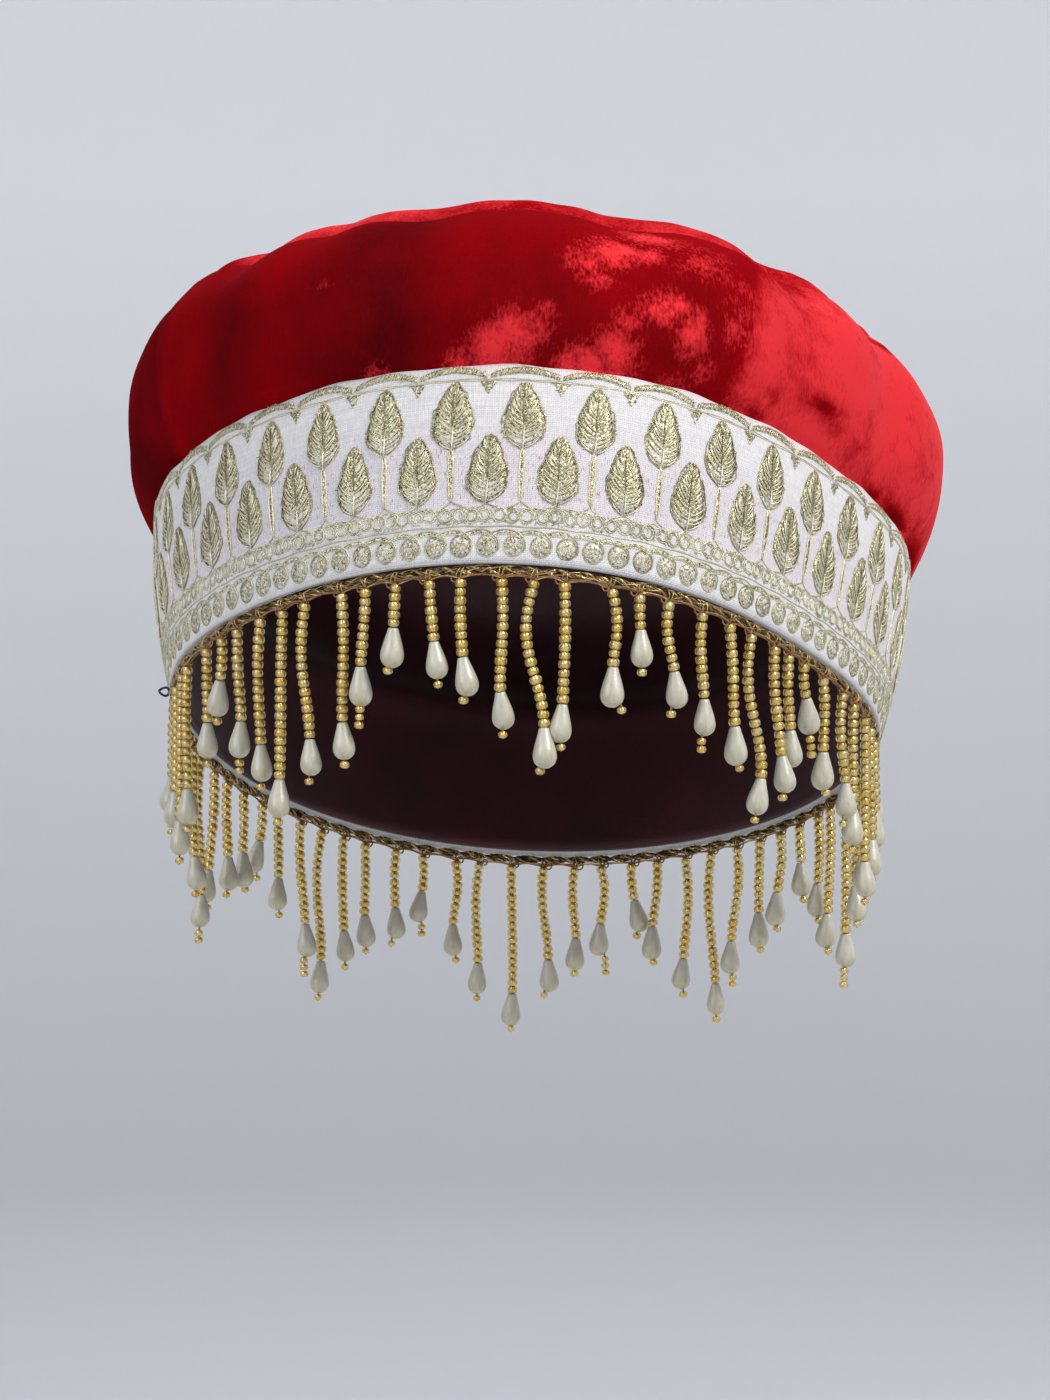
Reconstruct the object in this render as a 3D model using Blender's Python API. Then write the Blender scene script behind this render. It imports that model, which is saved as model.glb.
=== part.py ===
# Velvet cap with an embroidered band and a beaded fringe, as worn: tipped back, the fringe hanging straight.
# Metres, +Z up, front towards -Y. The origin is the middle of the head opening, at the band's lower edge.
# Walls are worked out in the cap's own frame, x across, y back and z up the cap's axis, and then tipped.
# Angles go round the axis from the front, plus towards +X.
import bisect
import math

import bmesh
import bpy
from mathutils import Matrix, Vector

# How the cap sits
TILT_BACK = math.radians(22.0)
ROLL_RIGHT = math.radians(2.7)

# Rim of the band: an oval that the head presses a little out of shape
RIM_HALF_WIDTH = 0.0882
RIM_LENGTH_RATIO = 1.12
# Where the whole cap is pressed in: middle and half width in degrees, depth as a share of the half width
DENTS = (
    (45.0, 32.0, 0.082),
    (-72.0, 25.0, -0.026),
)

# Band
BAND_HEIGHT = 0.0458
BAND_TOP_HALF_WIDTH = 0.0955
BAND_BULGE = 0.0014
BAND_WALL = 0.0018
# share of the way up, share of the bulge
BAND_ROWS = ((0.0, 0.0), (0.30, 0.85), (0.65, 0.90), (1.0, 0.0))

# Crown
VELVET_WALL = 0.0015
LINING_WALL = 0.0010
GAP = 0.0003
LINING_GAP = 0.0005
LINING_START = 0.02  # share of the band's height
TUCK = 0.0030
SEAM_HALF_WIDTH = 0.0945
SEAM_HEIGHT_FRONT = 0.0874
SEAM_HEIGHT_SIDES = 0.0960
SEAM_HEIGHT_BACK = 0.0900
SIDE_BULGE = 0.0095
# share of the way from the band to the seam, share of the bulge
SIDE_ROWS = ((0.02, 0.10), (0.17, 0.66), (0.42, 1.0), (0.76, 0.86), (1.0, 0.0))
TOP_PUFF = 0.0120
# share of the seam's half width, share of the puff
TOP_ROWS = ((0.993, 0.03), (0.955, 0.28), (0.86, 0.56), (0.62, 0.88), (0.30, 0.99))

# Folds of the velvet: middle and half width in degrees, depth at the seam, depth at the bulge
FOLDS = (
    (-84.0, 10.0, 0.0034, 0.0010),
    (-58.0, 7.0, -0.0016, 0.0008),
    (-46.0, 5.0, 0.0022, 0.0006),
    (-31.0, 5.0, 0.0016, 0.0014),
    (-17.0, 5.0, 0.0020, 0.0018),
    (9.0, 6.0, 0.0026, 0.0006),
    (35.0, 6.0, 0.0028, 0.0014),
    (58.0, 6.0, 0.0026, 0.0020),
    (78.0, 9.0, 0.0048, -0.0008),
    (112.0, 24.0, 0.0014, 0.0056),
    (141.0, 6.0, 0.0024, 0.0016),
    (171.0, 7.0, 0.0018, 0.0012),
    (-158.0, 6.0, 0.0026, 0.0016),
    (-128.0, 7.0, 0.0020, 0.0012),
    (-98.0, 6.0, 0.0024, 0.0014),
)

# Fringe
STRANDS = 70
BRAID_HEIGHT = 0.0030
BRAID_DEPTH = 0.0026
BEAD_RADIUS = 0.00135
BEAD_PITCH = 0.00195
PEARL_LENGTH = 0.0092
PEARL_RADIUS = 0.0029
# Seed beads on seven strands in turn, counted from the long one at the front
BEADS_IN_TURN = (18, 14, 9, 5, 8, 10, 13)
FIRST_STRAND_AT = -0.0008
# share of the pearl's length down from its top, share of its radius; the last two are the bead under it
PEARL_ROWS = ((0.62, 1.0), (0.93, 0.62), (1.04, 0.26), (1.24, 0.42))
STRAND_SIDES = 6

RING_STEPS = 72
RIM_SAMPLES = 1440
TIP = Matrix.Rotation(ROLL_RIGHT, 4, "Y") @ Matrix.Rotation(-TILT_BACK, 4, "X")


def mix(low, high, share):
    return low + (high - low) * share


def total_depth(table, angle, column):
    """How deep the dents or folds of a table are together at an angle."""
    depth = 0.0
    for row in table:
        away = (math.degrees(angle) - row[0] + 180.0) % 360.0 - 180.0
        depth += row[column] * math.exp(-((away / row[1]) ** 2))
    return depth


def outline(angle):
    """How far the cap's outline is from its axis, for a half width of 1."""
    oval = 1.0 / math.hypot(math.sin(angle), math.cos(angle) / RIM_LENGTH_RATIO)
    return oval - total_depth(DENTS, angle, 2)


def place(angle, half_width, height, inward=0.0):
    """A point of a wall, inward metres nearer the axis than the outline of that half width."""
    radius = half_width * outline(angle) - inward
    return Vector((radius * math.sin(angle), -radius * math.cos(angle), height))


def seam_height(angle):
    mean = (SEAM_HEIGHT_FRONT + SEAM_HEIGHT_BACK) / 2
    front_to_back = (SEAM_HEIGHT_FRONT - SEAM_HEIGHT_BACK) / 2
    sides = SEAM_HEIGHT_SIDES - mean
    return mean + front_to_back * math.cos(angle) + sides * math.sin(angle) ** 2


def crown_middle():
    return seam_height(math.pi / 2) + TOP_PUFF


def band_point(angle, row, inward=0.0):
    up, bulge = row
    half_width = mix(RIM_HALF_WIDTH, BAND_TOP_HALF_WIDTH, up) + BAND_BULGE * bulge
    return place(angle, half_width, BAND_HEIGHT * up, inward)


def side_point(angle, row, inward=0.0):
    up, bulge = row
    half_width = mix(BAND_TOP_HALF_WIDTH, SEAM_HALF_WIDTH, up) + SIDE_BULGE * bulge
    seam_fold = total_depth(FOLDS, angle, 2) * up ** 3
    height = mix(BAND_HEIGHT, seam_height(angle), up) - seam_fold / 2
    return place(angle, half_width, height, inward + seam_fold + total_depth(FOLDS, angle, 3) * bulge)


def top_point(angle, row):
    out, puff = row
    level = mix(seam_height(math.pi / 2), seam_height(angle), out ** 2)
    fold = total_depth(FOLDS, angle, 2) * out ** 6
    return place(angle, SEAM_HALF_WIDTH * out, level + TOP_PUFF * puff - fold / 2, fold)


def material(name, color, roughness, metallic=0.0):
    made = bpy.data.materials.new(name)
    made.use_nodes = True
    shader = made.node_tree.nodes["Principled BSDF"]
    shader.inputs["Base Color"].default_value = (*color, 1.0)
    shader.inputs["Roughness"].default_value = roughness
    shader.inputs["Metallic"].default_value = metallic
    return made


def ring(bm, points):
    return [bm.verts.new(point) for point in points]


def skin(bm, first, second):
    """Quads between two loops that have the same number of points."""
    for k, after in enumerate([*range(1, len(first)), 0]):
        bm.faces.new((first[k], first[after], second[after], second[k]))


def add_object(name, bm, made):
    bmesh.ops.transform(bm, matrix=TIP, verts=bm.verts)
    bmesh.ops.recalc_face_normals(bm, faces=bm.faces)
    mesh = bpy.data.meshes.new(name)
    bm.to_mesh(mesh)
    bm.free()
    mesh.shade_smooth()
    mesh.materials.append(made)
    obj = bpy.data.objects.new(name, mesh)
    bpy.context.scene.collection.objects.link(obj)
    return obj


def cloth(name, rows, wall, made, top=None):
    """A wall through rings of points, listed from the bottom up, with its thickness on the inside."""
    bm = bmesh.new()
    angles = [2 * math.pi * step / RING_STEPS for step in range(RING_STEPS)]
    loops = [ring(bm, [row(angle) for angle in angles]) for row in rows]
    for lower, upper in zip(loops, loops[1:]):
        skin(bm, lower, upper)
    if top:
        lid = bm.faces.new(loops[-1])
        bmesh.ops.poke(bm, faces=[lid])["verts"][0].co = top
    obj = add_object(name, bm, made)
    thickness = obj.modifiers.new("Wall", "SOLIDIFY")
    thickness.thickness = wall
    thickness.offset = -1.0
    thickness.use_even_offset = True
    thickness.use_quality_normals = True
    return obj


def make_band():
    rows = [lambda angle, row=row: band_point(angle, row) for row in BAND_ROWS]
    return cloth("band", rows, BAND_WALL, material("ivory_cloth", (0.80, 0.76, 0.72), 0.75))


def make_crown_side(velvet):
    tucked = BAND_WALL + GAP
    low = 1.0 - TUCK / BAND_HEIGHT
    rows = [lambda angle: band_point(angle, (low, 0.0), tucked)]
    rows.append(lambda angle: band_point(angle, (1.0, 0.0), tucked) + Vector((0.0, 0.0, GAP / 2)))
    rows += [lambda angle, row=row: side_point(angle, row) for row in SIDE_ROWS]
    return cloth("crown_side", rows, VELVET_WALL, velvet)


def make_crown_top(velvet):
    rows = [lambda angle, row=row: top_point(angle, row) for row in TOP_ROWS]
    middle = Vector((0.0, 0.0, crown_middle()))
    return cloth("crown_top", rows, VELVET_WALL, velvet, middle)


def behind_velvet(angle, row):
    """A point just inside the velvet, counting its rows up the side and on over the top."""
    path = [side_point(angle, r) for r in SIDE_ROWS] + [top_point(angle, r) for r in TOP_ROWS]
    out = Vector((math.sin(angle), -math.cos(angle), 0.0))
    along = path[row + 1] - path[row - 1]
    normal = out * along.z - Vector((0.0, 0.0, along.dot(out)))
    return path[row] - normal.normalized() * (VELVET_WALL + LINING_GAP)


def make_lining():
    """It runs up behind the band, over the velvet's tucked edge and round the inside of the crown."""
    under_band = BAND_WALL + LINING_GAP
    over_tuck = 1.0 + VELVET_WALL / BAND_HEIGHT
    seam_row = len(SIDE_ROWS) - 1
    rows = [
        lambda angle: band_point(angle, (LINING_START, 0.0), under_band),
        lambda angle: band_point(angle, (over_tuck, 0.0), under_band + VELVET_WALL + GAP),
        lambda angle: behind_velvet(angle, 2),
        lambda angle: behind_velvet(angle, seam_row),
        lambda angle: behind_velvet(angle, seam_row + 3),
    ]
    middle = Vector((0.0, 0.0, crown_middle() - VELVET_WALL - LINING_GAP))
    return cloth("lining", rows, LINING_WALL, material("maroon_lining", (0.10, 0.010, 0.014), 0.6), middle)


def rim_places():
    """Each strand's angle, evenly spaced along the rim from the front, and half the angle of a bead."""
    turn = 2 * math.pi / RIM_SAMPLES
    points = [place(turn * step, RIM_HALF_WIDTH, 0.0) for step in range(RIM_SAMPLES + 1)]
    along = [0.0]
    for a, b in zip(points, points[1:]):
        along.append(along[-1] + (b - a).length)
    places = []
    for number in range(STRANDS):
        wanted = (FIRST_STRAND_AT + along[-1] * number / STRANDS) % along[-1]
        step = bisect.bisect_right(along, wanted) - 1
        share = (wanted - along[step]) / (along[step + 1] - along[step])
        angle = turn * (step + share)
        places.append((angle, BEAD_RADIUS / (RIM_HALF_WIDTH * outline(angle))))
    return places


def braid(bm, angles):
    """A square ring under the hem without its lower face, as its outer and inner lower loops."""
    low = -GAP - BRAID_HEIGHT
    outer, top_outer, top_inner, inner = (
        ring(bm, [place(angle, RIM_HALF_WIDTH, height, inward) for angle in angles])
        for inward, height in ((0.0, low), (0.0, -GAP), (BRAID_DEPTH, -GAP), (BRAID_DEPTH, low))
    )
    skin(bm, outer, top_outer)
    skin(bm, top_outer, top_inner)
    skin(bm, top_inner, inner)
    return outer, inner


def strand(bm, mouth, angle, beads):
    """Seed beads, a drop pearl and one more bead, hanging straight down from a mouth in the braid."""
    down, across, back = (TIP.inverted() @ Vector(way) for way in ((0, 0, -1), (1, 0, 0), (0, 1, 0)))
    root = sum((vert.co for vert in mouth), Vector()) / STRAND_SIDES
    length = beads * BEAD_PITCH
    rows = [(length, BEAD_RADIUS)]
    rows += [(length + PEARL_LENGTH * share, PEARL_RADIUS * wide) for share, wide in PEARL_ROWS]
    above = mouth
    for drop, radius in rows:
        turns = [angle + 2 * math.pi * (side - 1) / STRAND_SIDES for side in range(STRAND_SIDES)]
        outward = [across * math.sin(turn) - back * math.cos(turn) for turn in turns]
        below = ring(bm, [root + down * drop + out * radius for out in outward])
        skin(bm, above, below)
        above = below
    bm.faces.new(above)


def make_fringe():
    """Each strand grows from an opening in the braid's lower face, so that the fringe is one body."""
    bm = bmesh.new()
    places = rim_places()
    angles = [angle + way * half for angle, half in places for way in (-1, 0, 1)]
    outer, inner = braid(bm, angles)
    for right in range(2, len(angles), 3):
        after = (right + 1) % len(angles)
        bm.faces.new([outer[right], outer[after], inner[after], inner[right]])
    for number, (angle, half) in enumerate(places):
        left, middle, right = (3 * number + k for k in range(3))
        mouth = [outer[left], outer[middle], outer[right], inner[right], inner[middle], inner[left]]
        strand(bm, mouth, angle, BEADS_IN_TURN[number % len(BEADS_IN_TURN)])
    return add_object("bead_fringe", bm, material("gold_beads", (0.62, 0.42, 0.14), 0.3, 0.8))


def main():
    for obj in list(bpy.data.objects):
        bpy.data.objects.remove(obj)
    velvet = material("red_velvet", (0.28, 0.008, 0.012), 0.8)
    make_band()
    make_crown_side(velvet)
    make_crown_top(velvet)
    make_lining()
    make_fringe()


main()
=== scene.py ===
import math

import bmesh
import bpy
import numpy as np
from mathutils import Matrix, Vector


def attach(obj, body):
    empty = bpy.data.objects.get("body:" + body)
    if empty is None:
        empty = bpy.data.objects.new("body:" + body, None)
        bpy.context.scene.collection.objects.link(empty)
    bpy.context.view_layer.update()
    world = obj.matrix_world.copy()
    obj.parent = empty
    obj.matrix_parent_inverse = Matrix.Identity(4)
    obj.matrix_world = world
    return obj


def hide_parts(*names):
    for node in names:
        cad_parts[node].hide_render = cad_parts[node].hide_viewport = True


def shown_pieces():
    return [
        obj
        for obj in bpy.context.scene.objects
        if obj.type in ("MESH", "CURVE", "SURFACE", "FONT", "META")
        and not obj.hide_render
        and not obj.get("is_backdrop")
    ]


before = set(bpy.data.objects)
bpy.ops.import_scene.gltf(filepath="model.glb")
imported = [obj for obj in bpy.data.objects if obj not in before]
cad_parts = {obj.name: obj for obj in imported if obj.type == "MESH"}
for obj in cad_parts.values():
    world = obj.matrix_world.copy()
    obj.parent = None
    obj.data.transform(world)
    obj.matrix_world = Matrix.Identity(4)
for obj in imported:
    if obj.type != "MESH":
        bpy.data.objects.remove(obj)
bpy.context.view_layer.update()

print("frame loaded:", sorted(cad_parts))

# Velvet cap with an embroidered band and a beaded fringe, hanging as it is worn.
# Metres, +Z up, front towards -Y. Angles go round the cap's own axis from the front, plus towards +X.

# the form of the cap, the same sizes as its solids have
cap = {
    "tiltBack": 22.0,
    "rollRight": 2.7,
    "rimHalfWidth": 0.0882,
    "lengthRatio": 1.12,
    "dents": ((45.0, 32.0, 0.082), (-72.0, 25.0, -0.026)),  # middle, half width in degrees, share pressed in
    "bandHeight": 0.0458,
    "bandTopHalfWidth": 0.0955,
    "bandBulge": 0.0014,
    "bandRows": ((0.0, 0.0), (0.30, 0.85), (0.65, 0.90), (1.0, 0.0)),  # share up, share of the bulge
    "bandWall": 0.0018,
    "velvetWall": 0.0015,
    "liningWall": 0.0010,
    "gap": 0.0003,
    "liningGap": 0.0005,
    "seamHalfWidth": 0.0945,
    "seamFront": 0.0874,
    "seamSides": 0.0960,
    "seamBack": 0.0900,
    "sideBulge": 0.0095,
    "sideRows": ((0.02, 0.10), (0.17, 0.66), (0.42, 1.0), (0.76, 0.86), (1.0, 0.0)),
    "topPuff": 0.0120,
    "topRows": ((0.0, 1.0), (0.30, 0.99), (0.62, 0.88), (0.86, 0.56), (0.955, 0.28), (0.993, 0.03)),
    # middle, half width in degrees, depth at the seam, depth at the bulge
    "folds": (
        (-84.0, 10.0, 0.0034, 0.0010), (-58.0, 7.0, -0.0016, 0.0008), (-46.0, 5.0, 0.0022, 0.0006),
        (-31.0, 5.0, 0.0016, 0.0014), (-17.0, 5.0, 0.0020, 0.0018), (9.0, 6.0, 0.0026, 0.0006),
        (35.0, 6.0, 0.0028, 0.0014), (58.0, 6.0, 0.0026, 0.0020), (78.0, 9.0, 0.0048, -0.0008),
        (112.0, 24.0, 0.0014, 0.0056), (141.0, 6.0, 0.0024, 0.0016), (171.0, 7.0, 0.0018, 0.0012),
        (-158.0, 6.0, 0.0026, 0.0016), (-128.0, 7.0, 0.0020, 0.0012), (-98.0, 6.0, 0.0024, 0.0014),
    ),
}
tip = Matrix.Rotation(math.radians(cap["rollRight"]), 3, "Y")
tip = np.array(tip @ Matrix.Rotation(-math.radians(cap["tiltBack"]), 3, "X"))
dice = np.random.default_rng(11)


def mix(low, high, share):
    return low + (high - low) * share


def wholeTurn(points):
    return np.linspace(0.0, 2 * math.pi, points)


def outwardAt(angle):
    return np.stack((np.sin(angle), -np.cos(angle), 0 * angle), -1)


def smoothStep(low, high, value):
    share = np.clip((value - low) / (high - low), 0.0, 1.0)
    return share * share * (3.0 - 2.0 * share)


def through(rows, value):
    # a smooth curve through a table's rows of place and amount
    places, amounts = np.array(rows).T
    slopes = np.gradient(amounts, places)
    k = np.clip(np.searchsorted(places, value) - 1, 0, len(places) - 2)
    width = places[k + 1] - places[k]
    t = np.clip((value - places[k]) / width, 0.0, 1.0)
    start = (1 + 2 * t) * (1 - t) ** 2 * amounts[k] + t * (1 - t) ** 2 * width * slopes[k]
    return start + t * t * (3 - 2 * t) * amounts[k + 1] + t * t * (t - 1) * width * slopes[k + 1]


def depthAt(table, angle, column):
    rows = np.array(table)
    away = (np.degrees(angle)[..., None] - rows[:, 0] + 180.0) % 360.0 - 180.0
    return (rows[:, column] * np.exp(-((away / rows[:, 1]) ** 2))).sum(-1)


def outline(angle):
    oval = 1.0 / np.hypot(np.sin(angle), np.cos(angle) / cap["lengthRatio"])
    return oval - depthAt(cap["dents"], angle, 2)


def place(angle, halfWidth, height, inward=0.0):
    radius = halfWidth * outline(angle) - inward
    return np.stack((radius * np.sin(angle), -radius * np.cos(angle), height + 0.0 * radius), -1)


def seamHeight(angle):
    middle = (cap["seamFront"] + cap["seamBack"]) / 2
    slope = (cap["seamFront"] - cap["seamBack"]) / 2
    return middle + slope * np.cos(angle) + (cap["seamSides"] - middle) * np.sin(angle) ** 2


def bandPoint(angle, up, inward=0.0):
    halfWidth = mix(cap["rimHalfWidth"], cap["bandTopHalfWidth"], up)
    halfWidth = halfWidth + cap["bandBulge"] * through(cap["bandRows"], up)
    return place(angle, halfWidth, cap["bandHeight"] * up, inward)


def sidePoint(angle, up, inward=0.0):
    bulge = through(cap["sideRows"], up)
    halfWidth = mix(cap["bandTopHalfWidth"], cap["seamHalfWidth"], up) + cap["sideBulge"] * bulge
    fold = depthAt(cap["folds"], angle, 2) * up ** 3
    height = mix(cap["bandHeight"], seamHeight(angle), up) - fold / 2
    return place(angle, halfWidth, height, inward + fold + depthAt(cap["folds"], angle, 3) * bulge)


def topPoint(angle, out, drop=0.0):
    level = mix(seamHeight(np.array(math.pi / 2)), seamHeight(angle), out ** 2)
    fold = depthAt(cap["folds"], angle, 2) * out ** 6
    height = level + cap["topPuff"] * through(cap["topRows"], out) - fold / 2 - drop
    return place(angle, cap["seamHalfWidth"] * out, height, fold)


# arc lengths round the band, to space out what is sewn on it
turns = wholeTurn(1441)


def arcsAt(up):
    points = bandPoint(turns, up)
    return np.concatenate(([0.0], np.cumsum(np.linalg.norm(np.diff(points, axis=0), axis=1))))


midArcs = arcsAt(0.5)
rimArcs = arcsAt(0.0)
bandLength = midArcs[-1]
rimLength = rimArcs[-1]


def turnAt(arc, arcs):
    # the angle at an arc length from the front, either way round
    return np.interp(arc % arcs[-1], arcs, turns) + 2 * math.pi * np.floor(arc / arcs[-1])


def onBand(arc, height, lift=0.0):
    # points of the band's face and the way out of it: arc and height in metres, lift off the cloth
    angle, up = turnAt(arc, midArcs), height / cap["bandHeight"]
    here = bandPoint(angle, up)
    along = bandPoint(angle + 0.001, up) - here
    rise = bandPoint(angle, up + 0.001) - here
    out = np.cross(along, rise)
    out /= np.linalg.norm(out, axis=-1, keepdims=True)
    return here + out * np.asarray(lift)[..., None], out


# materials

def feed(tree, socket, value):
    # a link from another node, or a fixed value
    if isinstance(value, bpy.types.NodeSocket):
        tree.links.new(value, socket)
    else:
        socket.default_value = value


def addNode(tree, kind, inputs=(), **settings):
    node = tree.nodes.new(kind)
    for name, value in settings.items():
        setattr(node, name, value)
    for name, value in dict(inputs).items():
        feed(tree, node.inputs[name], value)
    return node


def newGroup(name, inputs, outputs):
    group = bpy.data.node_groups.new(name, "ShaderNodeTree")
    for socket, kind, value in inputs:
        made = group.interface.new_socket(socket, in_out="INPUT", socket_type="NodeSocket" + kind)
        if value is not None:
            made.default_value = value
    for socket, kind in outputs:
        group.interface.new_socket(socket, in_out="OUTPUT", socket_type="NodeSocket" + kind)
    return group, group.nodes.new("NodeGroupInput").outputs, group.nodes.new("NodeGroupOutput").inputs


def newMaterial(name, color, roughness, **more):
    material = bpy.data.materials.new(name)
    material.use_nodes = True
    shader = material.node_tree.nodes["Principled BSDF"]
    shader.inputs["Base Color"].default_value = (*color, 1.0)
    shader.inputs["Roughness"].default_value = roughness
    for socket, value in more.items():
        shader.inputs[socket].default_value = value
    return material, material.node_tree, shader.inputs


def ramp(tree, value, low, high, start=0.0, end=1.0):
    inputs = {"Value": value, "From Min": low, "From Max": high, "To Min": start, "To Max": end}
    return addNode(tree, "ShaderNodeMapRange", inputs).outputs["Result"]


def blendColors(tree, share, first, second):
    node = addNode(tree, "ShaderNodeMix", data_type="RGBA")
    for number, value in ((0, share), (6, first), (7, second)):
        feed(tree, node.inputs[number], (*value, 1.0) if isinstance(value, tuple) else value)
    return node.outputs[2]


def arithmetic(tree, way, first, second=0.0):
    return addNode(tree, "ShaderNodeMath", {0: first, 1: second}, operation=way).outputs[0]


def plus(tree, first, second):
    return arithmetic(tree, "ADD", first, second)


def times(tree, first, second):
    return arithmetic(tree, "MULTIPLY", first, second)


def noise(tree, vector, scale, detail=2.0, roughness=0.5, distortion=0.0):
    inputs = {"Vector": vector, "Scale": scale, "Detail": detail, "Roughness": roughness,
              "Distortion": distortion}
    return addNode(tree, "ShaderNodeTexNoise", inputs).outputs["Fac"]


def coordinates(tree):
    return addNode(tree, "ShaderNodeTexCoord").outputs["Object"]


def drawnOut(tree, vector, scale, rotation=(0.0, 0.0, 0.0)):
    inputs = {"Vector": vector, "Scale": scale, "Rotation": rotation}
    return addNode(tree, "ShaderNodeMapping", inputs).outputs[0]


def marked(tree, name):
    return addNode(tree, "ShaderNodeAttribute", attribute_name=name).outputs["Fac"]


def relief(tree, height, strength, distance):
    inputs = {"Height": height, "Strength": strength, "Distance": distance}
    return addNode(tree, "ShaderNodeBump", inputs).outputs["Normal"]


def makeGlitter():
    # fine wound metal thread: a mask of bright and dull places that paints glints, and the winding as relief
    group, ins, outs = newGroup("glitter", [("Vector", "Vector", None), ("Scale", "Float", 1500.0)],
                                [("Bright", "Float"), ("Height", "Float")])
    grain = noise(group, ins["Vector"], ins["Scale"], 2.0, 0.6)
    patches = noise(group, ins["Vector"], times(group, ins["Scale"], 0.25), 1.0, 0.5)
    both = times(group, ramp(group, grain, 0.35, 0.65), ramp(group, patches, 0.3, 0.6))
    group.links.new(both, outs["Bright"])
    group.links.new(grain, outs["Height"])
    return group


def makeWeave():
    # plain weave on a map whose unit is one thread: the height of the cloth and the holes between threads
    group, ins, outs = newGroup("plainWeave", [("Vector", "Vector", None)],
                                [("Height", "Float"), ("Holes", "Float")])

    def threads(place):
        return arithmetic(group, "ABSOLUTE", arithmetic(group, "SINE", times(group, place, math.pi)))

    parts = addNode(group, "ShaderNodeSeparateXYZ", {"Vector": ins["Vector"]}).outputs
    across, down = threads(parts[0]), threads(parts[1])
    checks = addNode(group, "ShaderNodeTexChecker", {"Vector": ins["Vector"], "Scale": 1.0}).outputs["Fac"]
    over = addNode(group, "ShaderNodeMix", {0: checks, 2: across, 3: down}).outputs[0]
    group.links.new(over, outs["Height"])
    highest = arithmetic(group, "MAXIMUM", across, down)
    group.links.new(ramp(group, highest, 0.25, 0.7, 1.0, 0.0), outs["Holes"])
    return group


glitter = makeGlitter()
plainWeave = makeWeave()

colors = {
    # painted light on the velvet: its shade, its satin sheen and the sheen of its crushed patches
    "velvetShade": (0.080, 0.0024, 0.0036),
    "velvetRed": (0.30, 0.0016, 0.0045),
    "velvetPaintedSheen": (0.80, 0.034, 0.043),
    "velvetCrushedSheen": (0.88, 0.036, 0.046),
    "cloth": (0.885, 0.88, 0.865),
    "clothTint": (0.81, 0.74, 0.78),
    "clothDye": (0.46, 0.04, 0.15),
    "clothSlub": (0.60, 0.58, 0.60),
    "clothHole": (0.40, 0.36, 0.42),
    "liningDark": (0.034, 0.004, 0.008),
    "liningLight": (0.075, 0.008, 0.014),
    # metal thread colours: tone differs at random between threads, and painted glints push it towards the
    # bright colour
    "zariDull": (0.17, 0.14, 0.04),
    "zariBright": (1.0, 0.96, 0.72),
    "stitchDark": (0.12, 0.095, 0.025),
    "stitchGold": (0.56, 0.52, 0.29),
    # painted glint of the laid stitches
    "stitchPaintedGlint": (1.0, 0.97, 0.78),
    "clothBetween": (0.77, 0.74, 0.70),
    "braidDull": (0.045, 0.02, 0.006),
    "braidBright": (0.92, 0.66, 0.29),
    "glassDark": (0.94, 0.66, 0.18),
    "glassLight": (0.99, 0.83, 0.38),
    "glassSpot": (0.72, 0.46, 0.09),
    "silverWarm": (0.90, 0.80, 0.58),
    "silverPale": (1.0, 0.98, 0.92),
    "pearl": (0.55, 0.52, 0.405),
    "pearlEnd": (0.48, 0.41, 0.22),
    # painted highlight streaks of the pearls
    "pearlPaintedHighlight": (0.72, 0.72, 0.66),
    "stringDark": (0.22, 0.15, 0.06),
    "stringLight": (0.42, 0.32, 0.15),
    "copperDark": (0.14, 0.05, 0.02),
    "copperLight": (0.44, 0.21, 0.09),
    "navyDark": (0.005, 0.018, 0.035),
    "navyLight": (0.018, 0.06, 0.11),
    # backdrop paper, with painted shade low down
    "paperPaintedShade": (0.55, 0.565, 0.59),
    "paperHigh": (0.92, 0.925, 0.955),
    "paperCloud": (0.78, 0.77, 0.76),
}


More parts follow.
